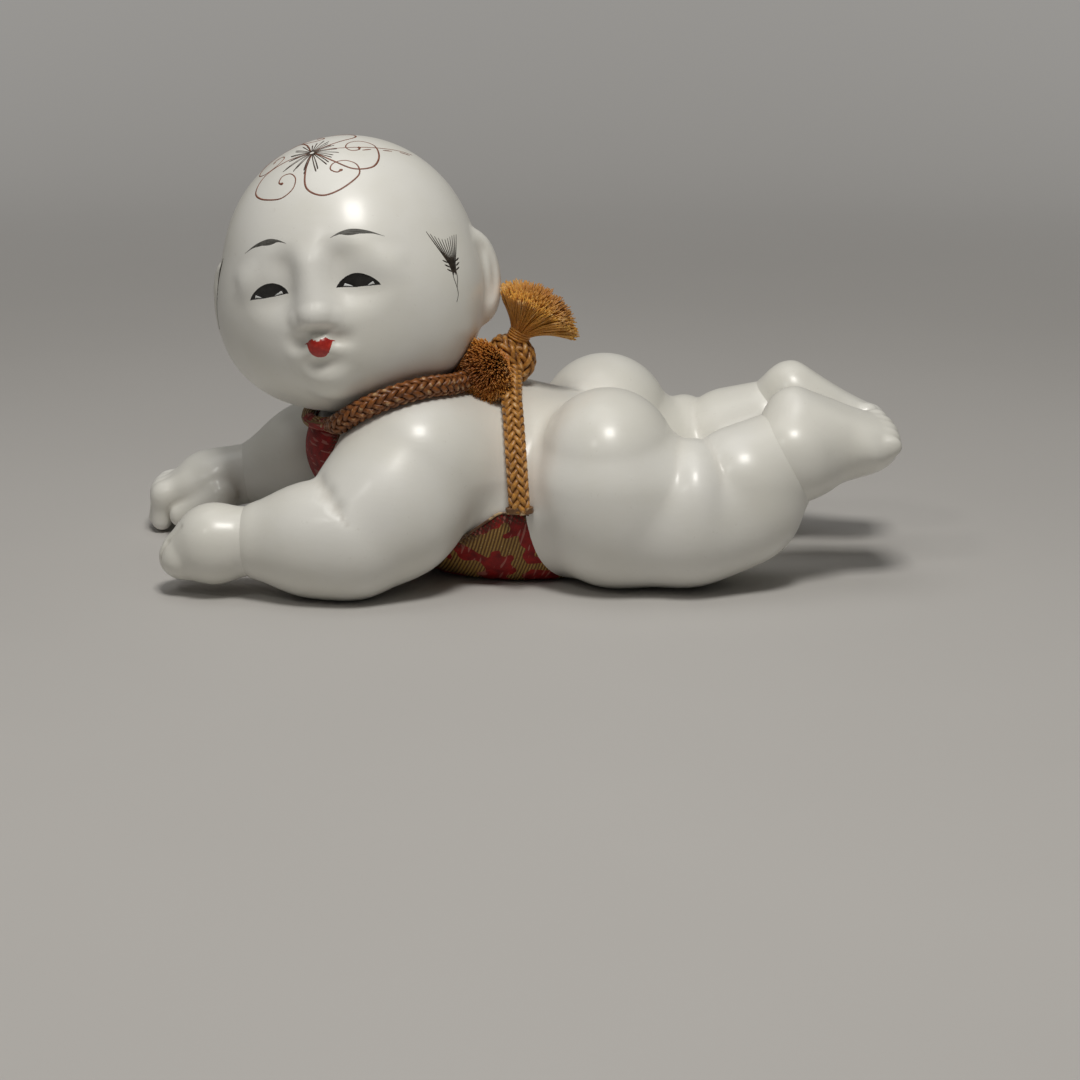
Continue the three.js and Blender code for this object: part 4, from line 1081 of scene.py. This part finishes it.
def silk_thread(name, dark, light, streak_scale=1400):
    """Twisted silk: fine streaks with a soft shine and painted glints, and painted shade where a mark says
    it lies deep.
    """
    material, shader, place = new_finish(name)
    outside = place.mark("outside")
    streak = place.noise(streak_scale, 2)
    cloud = place.noise(160, 3)
    shade = (streak * 0.65 + cloud * 0.35).stepped(0.3, 0.68)
    # Painted shade: silk that lies deep, by the outside mark, is drawn darker.
    shade = outside * (0.35 + shade * 0.65)
    # Painted glints on the outermost silk, as highlights.
    painted_glint = place.noise(520, 1).stepped(0.56, 0.64) * outside.stepped(0.7, 1.0) * 0.5
    silk = painted_glint.tinted(shade.tinted(dark, light), PAINTED_SILK_GLINT)
    feed(shader, Base_Color=silk, Roughness=0.44 - shade * 0.14, Specular_IOR_Level=0.45)
    feed(shader, Normal=streak.raised(0.00012, 0.6), Sheen_Weight=0.06, Sheen_Roughness=0.35)
    return material


def carried(first, along):
    """Directions across a path, each carried on from the one before without a twist."""
    side = np.empty_like(along)
    side[0] = unit(first)
    for n in range(1, len(along)):
        side[n] = unit(side[n - 1] - along[n] * (side[n - 1] @ along[n]))
    return side


ANY_WAY = (0.31, 0.52, 0.79)  # a direction that no bar here starts along


def tube(path, radius, sides=6):
    """Rings of a round bar along a path. The radius may change on the way."""
    path = np.asarray(path, float)
    along = unit(np.gradient(path, axis=0))
    side = carried(np.cross(along[0], ANY_WAY), along)
    up = np.cross(along, side)
    angle = np.linspace(0, 2 * math.pi, sides, endpoint=False)
    ring = np.cos(angle)[None, :, None] * side[:, None] + np.sin(angle)[None, :, None] * up[:, None]
    return path[:, None] + ring * np.asarray(radius, float).reshape(-1, 1, 1)


def all_out(rings, share=1.0):
    """The mark that says how far outside a whole bar lies."""
    return np.full(rings.shape[0] * rings.shape[1], share)


EDGE_RADIUS = 0.3
LEAST_STEP = 0.05
edge_path = [bib_outer[:, 0], bib_outer[-1, 1:-1], bib_outer[::-1, -1], bib_outer[0, -2:0:-1]]
edge_path = np.concatenate(edge_path)
edge_steps = np.linalg.norm(np.diff(edge_path, axis=0), axis=1)
edge_path = edge_path[np.concatenate([[True], edge_steps > LEAST_STEP])]
edge_thread = silk_thread("edge_thread", (0.035, 0.014, 0.008), (0.15, 0.07, 0.03))
edge_rings = tube(edge_path, EDGE_RADIUS)
binding = add_lofts("bib_turned_edge", [edge_rings], edge_thread, [("outside", all_out(edge_rings))])
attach(binding, "body")

# Neck cord and waist cords
# Round silk cord of sixteen strands, plaited eight each way round a core, about five millimetres thick.
# One length loops the neck, and its runs from the knot go down each flank to the bib's corners, where
# they are sewn.
CORD_RADIUS = 2.5
STRANDS_EACH_WAY = 8
CORD_PITCH = 16.5  # along the cord for one whole turn of a strand
STRAND_HALF_WIDTH = 0.62
STRAND_HALF_THICK = 0.44
WEAVE_DEPTH = 0.36
CORD_STEP = 0.5  # between rings along a strand
CORD_SUNK = 0.1  # how far the cord presses into what it lies on
cord_middle = CORD_RADIUS - STRAND_HALF_THICK - WEAVE_DEPTH


def circling(angles, first, second):
    """Directions that go round from a first one by way of a second."""
    return np.outer(np.cos(angles), first) + np.outer(np.sin(angles), second)


def even_path(path, step):
    """The same path with its points a fixed step apart, and how far along each is."""
    gaps = np.linalg.norm(np.diff(path, axis=0), axis=1)
    far = np.concatenate([[0], np.cumsum(gaps)])
    count = max(int(far[-1] / step) + 1, 8)
    place = np.linspace(0, far[-1], count)
    return np.stack([np.interp(place, far, path[:, axis]) for axis in range(3)], 1), place


def braid(path, front=(0.2, 0.3, 0.93), girths=(1,)):
    """The strands of a cord plaited over two and under two along a path, and how far out they lie."""
    path, place = even_path(path, CORD_STEP)
    girth = np.interp(place / place[-1], np.linspace(0, 1, len(girths)), girths)
    along = unit(np.gradient(path, axis=0))
    side = carried(np.array(front) - along[0] * (np.array(front) @ along[0]), along)
    up = np.cross(along, side)
    spin = 2 * math.pi / CORD_PITCH
    ring = np.linspace(0, 2 * math.pi, 8, endpoint=False)
    strands = []
    for way in (1, -1):
        for n in range(STRANDS_EACH_WAY):
            angle = way * spin * place + 2 * math.pi * (n + (way < 0) / 2) / STRANDS_EACH_WAY
            depth = cord_middle + way * WEAVE_DEPTH * np.sin(STRANDS_EACH_WAY / 2 * angle)
            out = np.cos(angle)[:, None] * side + np.sin(angle)[:, None] * up
            middle = path + out * (depth * girth)[:, None]
            run = unit(np.gradient(middle, axis=0))
            flat = np.cross(run, out)
            bar = np.cos(ring)[None, :, None] * flat[:, None] * STRAND_HALF_WIDTH
            bar = bar + np.sin(ring)[None, :, None] * out[:, None] * STRAND_HALF_THICK
            strands.append(middle[:, None] + bar * girth[:, None, None])
    strands.append(tube(path, (cord_middle - 0.3) * girth, 8))
    # How far out each strand lies; the silk is drawn darker where it lies deep, as painted shade.
    reach = [np.linalg.norm(strand - path[:, None], axis=-1) / girth[:, None] for strand in strands]
    outside = [np.clip((far - cord_middle) / (CORD_RADIUS - cord_middle), 0, 1).ravel() for far in reach]
    return strands, np.concatenate(outside)


SETTLE_ROUNDS = 40


def settled(form, p, room, keep_clear):
    """Points moved to lie at some distance from a form, and no nearer to what must stay clear."""
    for _ in range(SETTLE_ROUNDS):
        p = p + unit(slope_of(form, p)) * (room - form(p))[:, None]
        short = np.maximum(room + TURN_GAP - keep_clear(p), 0)
        p = p + unit(slope_of(keep_clear, p)) * short[:, None]
    return p


cord_silk = silk_thread("cord_silk", (0.085, 0.018, 0.004), (0.72, 0.34, 0.068))
cord_end_silk = silk_thread("cord_end_silk", (0.075, 0.032, 0.012), (0.2, 0.1, 0.04))
# The neck cord is the same cord as the waist cords, given darker colours as painted shade.
shaded_neck_silk = silk_thread("shaded_neck_cord_silk", (0.05, 0.012, 0.003), (0.36, 0.125, 0.028))
KNOT_RADIUS = 4.9
cord_bed = join(1, lambda p: trunk(p) - BIB_UNDER - BIB_THICK, *arm_forms.values())
knot_low, knot_high = around("cord_knot", room=0)
knot = (knot_low + knot_high) / 2


def from_knot(direction, further=0):
    return knot + unit(np.array(direction, float)) * (KNOT_RADIUS - 1.4 + further)


NECK_POINTS = 400
LOOP_REACH = 20.8
HEM_GIRTH = 0.5  # of the cord where it lies flat inside the bib's hem
HEM_SIDES = 12
neck_side = np.array((0, 1.0, 0))
neck_rear = np.cross(neck_side, neck_axis)
angles = np.radians(np.linspace(30, 330, 25))
in_front = np.maximum(-np.cos(angles), 0)
ring_reach = LOOP_REACH + 3.7 * np.sin(angles) ** 8 - 4.6 * in_front ** 2
hemmed = np.clip((in_front - 0.55) / 0.3, 0, 1)
girth_there = 1 - (1 - HEM_GIRTH) * hemmed
ring = neck_mouth + circling(angles, neck_rear, neck_side) * ring_reach[:, None]
ring = settled(cord_bed, ring, CORD_RADIUS * girth_there - CORD_SUNK, turning_head)
neck_stops = np.concatenate([
    [from_knot((-0.9, 0.3, -0.06)), from_knot((-0.9, 0.3, -0.06), 2.5)],
    ring,
    [from_knot((-0.9, -0.3, -0.06), 2.5), from_knot((-0.9, -0.3, -0.06))],
])
neck_path = eased(curve_through(neck_stops, NECK_POINTS), 30)
stop_girths = np.concatenate([[1, 1], girth_there, [1, 1]])
neck_girths = np.interp(np.linspace(0, 1, NECK_POINTS), np.linspace(0, 1, len(stop_girths)), stop_girths)
far = np.concatenate([[0], np.cumsum(np.linalg.norm(np.diff(neck_path, axis=0), axis=1))])
even_far = np.linspace(0, far[-1], NECK_POINTS)
neck_girths = np.interp(even_far, far, neck_girths)
strands, outside = braid(neck_path, (0, 0, 1), neck_girths)
neck_cord = add_lofts("neck_cord_braid", strands, shaded_neck_silk, [("outside", outside)])
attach(neck_cord, "body")
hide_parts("neck_cord")

# The bib's hem, which is folded round the flat part of the cord and sewn down.
hem_path, hem_place = even_path(neck_path[np.interp(far, even_far, neck_girths) < 0.8], CORD_STEP)
hem_rings = tube(hem_path, CORD_RADIUS * HEM_GIRTH + 0.3, HEM_SIDES)
hem_along = np.repeat(hem_place, HEM_SIDES)
hem_round = np.tile(np.arange(HEM_SIDES), len(hem_rings))
hem_marks = [("along", hem_round), ("across", hem_along), ("edge", 0 * hem_along)]
hem = add_lofts("bib_hem", [hem_rings], bib_cloth, hem_marks)
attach(hem, "body")

WAIST_STOPS = 9
WAIST_TOP = 58  # degrees up from level, seen from the belly's middle
WAIST_END = 2
WHIPPING_TURNS = 4
WHIPPING_HEIGHT = 1.9
WHIPPING_WIDTH = 2.75
THREAD_RADIUS = 0.34
WHIPPING_POINTS = 120
bib_corner = belly + (-1.4, 0, 0)
for side, out in ARM_SIDES.items():
    leave = (0.1, out * 0.8, -0.5)
    stops = [from_knot(leave), from_knot(leave, 2.5)]
    shares = np.linspace(0, 1, WAIST_STOPS)
    lift = np.radians(WAIST_TOP + (WAIST_END - WAIST_TOP) * shares)
    inside_x = stops[1][0] + (bib_corner[0] - stops[1][0]) * shares
    inside = np.stack([inside_x, 0 * shares, belly[2] + 0 * shares], 1)
    ray = np.stack([0 * shares, out * np.cos(lift), np.sin(lift)], 1)
    on_flank = led_out(trunk, inside + ray * 15, ray, CORD_RADIUS - CORD_SUNK)
    path = curve_through(np.concatenate([stops, on_flank]), 120)
    strands, outside = braid(path, (0, out, 0.5))
    waist_cord = add_lofts("waist_cord_" + side + "_braid", strands, cord_silk, [("outside", outside)])
    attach(waist_cord, "body")
    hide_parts("waist_cord_" + side)
    end_way = unit(path[-1] - path[-6])
    flank = unit(slope_of(trunk, path[-1:]))[0]
    beside = np.cross(end_way, flank)
    turns = np.linspace(0, 2 * math.pi * WHIPPING_TURNS, WHIPPING_POINTS)
    whipping = path[-1] + np.outer(np.linspace(-1.0, 0.1, WHIPPING_POINTS), end_way)
    whipping = whipping + circling(turns, flank * WHIPPING_HEIGHT, beside * WHIPPING_WIDTH)
    whipping = tube(whipping, THREAD_RADIUS)
    stitch_marks = [("outside", all_out(whipping))]
    stitches = add_lofts("waist_cord_" + side + "_whipping", [whipping], cord_end_silk, stitch_marks)
    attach(stitches, "body")

# Knot
# The cord's two ends are tied at the nape in a tight double turn, one wrap slanting over the other.
# It is the same plaited silk, and the waist cords and the brushed ends leave from it.
KNOT_TURN_RADIUS = 2.75
KNOT_POINTS = 60
knot_lofts = []
knot_outside = []
for turn, size, shift in (
    (turned(x=60, y=20), 1.0, (0, 0, 0)),
    (turned(x=-40, y=60), 1.0, (-0.5, -0.5, 0.2)),
    (turned(x=80, y=-35), 1.1, (1.3, -0.6, -0.6)),
):
    angle = math.pi + np.linspace(0, 2 * math.pi * 0.985, KNOT_POINTS)
    loop = np.stack([np.cos(angle), np.sin(angle), 0 * angle], 1) * KNOT_TURN_RADIUS * size
    strands, outside = braid(knot + shift + loop @ turn.T)
    knot_lofts.extend(strands)
    knot_outside.append(outside)
knot_piece = add_lofts("cord_knot_braid", knot_lofts, cord_silk, [("outside", np.concatenate(knot_outside))])
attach(knot_piece, "body")
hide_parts("cord_knot")

# Tassels
# Past the knot each end is bound with thread and its strands are unpicked and brushed out into silk floss.
# One fan stands up and spreads to the right, the other is cut short and turns its round brush to the side.
TASSEL_SIDES = 3
FLOSS_POINTS = 9
FLOSS_ROOT = 1.9
FLOSS_CLEAR = 0.4
FLOSS_RADIUS = 0.15
FLOSS_SHORTEST = 0.89
EARLY_SPREAD = 0.25  # the share of a strand's spread that it has from its root on
CLEAR_ROUNDS = 4
WRAP_RADIUS = 2.3
WRAP_THREAD = 0.33
WRAP_COUNT = 4
generator = np.random.default_rng(7)
tassel_stops = [turned_about_neck(degrees) for degrees in np.linspace(TURN_STOPS[0], TURN_STOPS[-1], 13)]


def clear_of_doll(p):
    """The room between some points and the body, or the head and ears at any turn of the neck."""
    offset = p - head_centre
    gap = np.minimum(body_form(p) + 0.3, 3)
    near = np.sqrt((offset ** 2).sum(1)) < HEAD_REACH + 6
    from_head = [head_local(offset[near] @ stop @ head_turn) for stop in tassel_stops]
    gap[near] = np.minimum(gap[near], np.min(from_head, 0))
    return gap


def floss(base, axis, spread_way, wide, thick, length, count, curl, lean=0.0):
    """Fine strands from a bound base, and how far out each is. They spread more one way than the other."""
    axis = unit(np.array(axis, float))
    wide_way = unit(np.array(spread_way) - axis * (np.array(spread_way) @ axis))
    thick_way = np.cross(axis, wide_way)
    run = np.linspace(0, 1, FLOSS_POINTS)
    paths = []
    outside = []
    for n in range(count):
        around_angle = generator.uniform(0, 2 * math.pi)
        share = math.sqrt(generator.uniform(0, 1))
        across_wide = wide * share * math.cos(around_angle) + lean
        across_thick = thick * share * math.sin(around_angle)
        way = unit(axis + wide_way * math.tan(across_wide) + thick_way * math.tan(across_thick))
        root_way = wide_way * math.cos(around_angle) + thick_way * math.sin(around_angle)
        root = base + root_way * FLOSS_ROOT * share
        long = length * generator.uniform(FLOSS_SHORTEST, 1.0) * (1 - 0.12 * share)
        bend = unit(generator.normal(size=3)) * curl * long + wide_way * across_wide * curl * 4
        path = root + np.outer(run * long, axis * (1 - EARLY_SPREAD) + way * EARLY_SPREAD)
        path = path + np.outer(run ** 1.4 * long, way - axis) * (1 - EARLY_SPREAD)
        paths.append(path + np.outer(run ** 2.5, bend))
        # The outside mark is low at the base and the middle of the bunch, where the silk is drawn darker as
        # painted shade.
        outside.append(np.repeat(0.3 + 0.7 * share ** 1.5 * run ** 0.6, TASSEL_SIDES))
    points = np.concatenate(paths)
    for _ in range(CLEAR_ROUNDS):
        tight = np.flatnonzero(clear_of_doll(points) < FLOSS_CLEAR)
        short = FLOSS_CLEAR - clear_of_doll(points[tight])
        points[tight] += unit(slope_of(clear_of_doll, points[tight])) * short[:, None]
    radius = FLOSS_RADIUS - 0.03 * run
    strands = [tube(path, radius, TASSEL_SIDES) for path in points.reshape(-1, FLOSS_POINTS, 3)]
    return strands, outside


def binding_wraps(base, axis):
    """The thread that binds the strands at their base."""
    axis = unit(np.array(axis, float))
    first = unit(np.cross(axis, (0.3, 0.9, 0.2)))
    second = np.cross(axis, first)
    turns = np.linspace(0, 2 * math.pi * WRAP_COUNT, WRAP_COUNT * 16)
    path = base + np.outer(np.linspace(-0.8, 1.6, len(turns)), axis)
    return tube(path + circling(turns, first, second) * WRAP_RADIUS, WRAP_THREAD)


floss_count = 1700
floss_gold = silk_thread("floss_gold", (0.34, 0.095, 0.012), (0.97, 0.54, 0.10), 2200)
floss_brown = silk_thread("floss_brown", (0.30, 0.070, 0.013), (0.92, 0.43, 0.07), 2200)
upper_way = (0.42, -0.1, 0.9)
upper_spread = ((0.9, 0, -0.42), 0.92, 0.52, 12.6, floss_count, 0.06, 0.2)
lower_way = (-0.46, -0.88, -0.06)
lower_spread = ((1, 0, 0), 0.6, 0.54, 12.8, floss_count * 3 // 2, 0.04)
loose_way = (-0.12, -0.42, -0.9)
loose_base = from_knot((-0.3, -0.93, 0.2), 2.2)
loose_spread = ((1, 0, 0), 0.3, 0.14, 8.5, floss_count // 8, 0.05)
for name, finish, base, way, spread in (
    ("tassel_upper", floss_gold, from_knot(upper_way, 1.9), upper_way, upper_spread),
    ("tassel_lower", floss_brown, from_knot(lower_way, 1.2), lower_way, lower_spread),
):
    strands, outside = floss(base, way, *spread)
    if name == "tassel_lower":
        loose, loose_outside = floss(loose_base, loose_way, *loose_spread)
        strands.extend(loose)
        outside.extend(loose_outside)
    wraps = binding_wraps(base, way)
    strands.append(wraps)
    outside.append(all_out(wraps, 0.5))
    tassel = add_lofts(name + "_floss", strands, finish, [("outside", np.concatenate(outside))])
    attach(tassel, "body")
    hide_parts(name)

# Pegs and neck plug
# Turned softwood, glued into drilled seats. They are inside the coat and show only if the doll is taken
# apart.


def peg_wood():
    """Pale wood with its grain along the peg."""
    material, shader, place = new_finish("peg_wood")
    stretched = place.node("Mapping", None, {"Vector": place, "Scale": (300, 60, 300)})
    grain = stretched.noise(1, 4)
    colour = grain.stepped(0.35, 0.65).tinted((0.42, 0.27, 0.13), (0.60, 0.43, 0.24))
    feed(shader, Base_Color=colour, Roughness=0.55 + grain * 0.15, Normal=grain.raised(0.0002, 0.5))
    return material


wood = peg_wood()
for name, node in frame["nodes"].items():
    if name.endswith("_peg") or name == "neck_plug":
        node.data.materials.clear()
        node.data.materials.append(wood)

# Floor and light
# A plain pale floor that runs up behind, a small lamp above the viewer, and soft lamps and fill from all
# round.
BACKDROP = (0.34, 0.33, 0.315, 1)
FILL_COLOUR = (0.9, 0.92, 0.95, 1)
FILL_STRENGTH = 0.055


def pale_floor():
    """Matt paper with the doll's shadow. Far from the doll the camera sees it as plain as the backdrop."""
    material, shader, place = new_finish("pale_floor")
    tree = material.node_tree
    far_off = place.node("VectorMath", {"operation": "LENGTH"}, {0: place}, "Value").stepped(0.25, 0.9)
    seen = place.node("LightPath", None, None, "Is Camera Ray")
    plain = place.node("Emission", None, {"Color": BACKDROP, "Strength": 1.0})
    mixed = place.node("MixShader", None, {0: far_off * seen, 1: Shade(tree, shader.outputs[0]), 2: plain})
    tree.links.new(mixed.socket, tree.nodes["Material Output"].inputs["Surface"])
    cloud = place.noise(6, 3)
    feed(shader, Base_Color=cloud.tinted((0.50, 0.485, 0.465), (0.54, 0.525, 0.505)))
    feed(shader, Roughness=0.6 + cloud * 0.1, Specular_IOR_Level=0.2)
    return material


FLOOR_REACH = 1600
BACK_START = 500
BACK_CURVE = 300
BACK_STEPS = 12
sweep_points = [(-FLOOR_REACH, 0), (BACK_START, 0)]
for step in range(1, BACK_STEPS + 1):
    angle = math.pi / 2 * step / BACK_STEPS
    sweep_points.append((BACK_START + BACK_CURVE * math.sin(angle), BACK_CURVE * (1 - math.cos(angle))))
sweep_points.append((BACK_START + BACK_CURVE, FLOOR_REACH))
points = [(x, y, z) for y, z in sweep_points for x in (-FLOOR_REACH, FLOOR_REACH)]
faces = [(2 * n, 2 * n + 1, 2 * n + 3, 2 * n + 2) for n in range(len(sweep_points) - 1)]
floor = add_mesh("floor", points, faces, pale_floor())


def add_lamp(name, place, size, power, colour):
    """A square lamp that faces the doll."""
    lamp = bpy.data.objects.new(name, bpy.data.lights.new(name, "AREA"))
    lamp.data.size = size * MM
    lamp.data.energy = power
    lamp.data.color = colour
    lamp.location = np.array(place) * MM
    towards = Vector((0, 0, 40 * MM)) - lamp.location
    lamp.rotation_euler = towards.to_track_quat("-Z", "Y").to_euler()
    bpy.context.scene.collection.objects.link(lamp)


add_lamp("key_lamp", place=(40, -330, 740), size=190, power=3.4, colour=(1.0, 0.975, 0.93))
add_lamp("second_lamp", place=(-330, -480, 600), size=90, power=0.35, colour=(1.0, 0.97, 0.93))
add_lamp("soft_lamp", place=(-100, 100, 900), size=600, power=1.4, colour=(1.0, 0.99, 0.97))
world = bpy.data.worlds.new("studio")
bpy.context.scene.world = world
world.use_nodes = True
fill_light = world.node_tree.nodes["Background"]
fill_light.inputs["Color"].default_value = FILL_COLOUR
fill_light.inputs["Strength"].default_value = FILL_STRENGTH
fill = Shade(world.node_tree, fill_light.outputs[0])
seen = fill.node("LightPath", None, None, "Is Camera Ray")
plain = fill.node("Background", None, {"Color": BACKDROP, "Strength": 1.0})
mixed = fill.node("MixShader", None, {0: seen, 1: fill, 2: plain})
world.node_tree.links.new(mixed.socket, world.node_tree.nodes["World Output"].inputs["Surface"])
bpy.context.scene.view_settings.view_transform = "Standard"
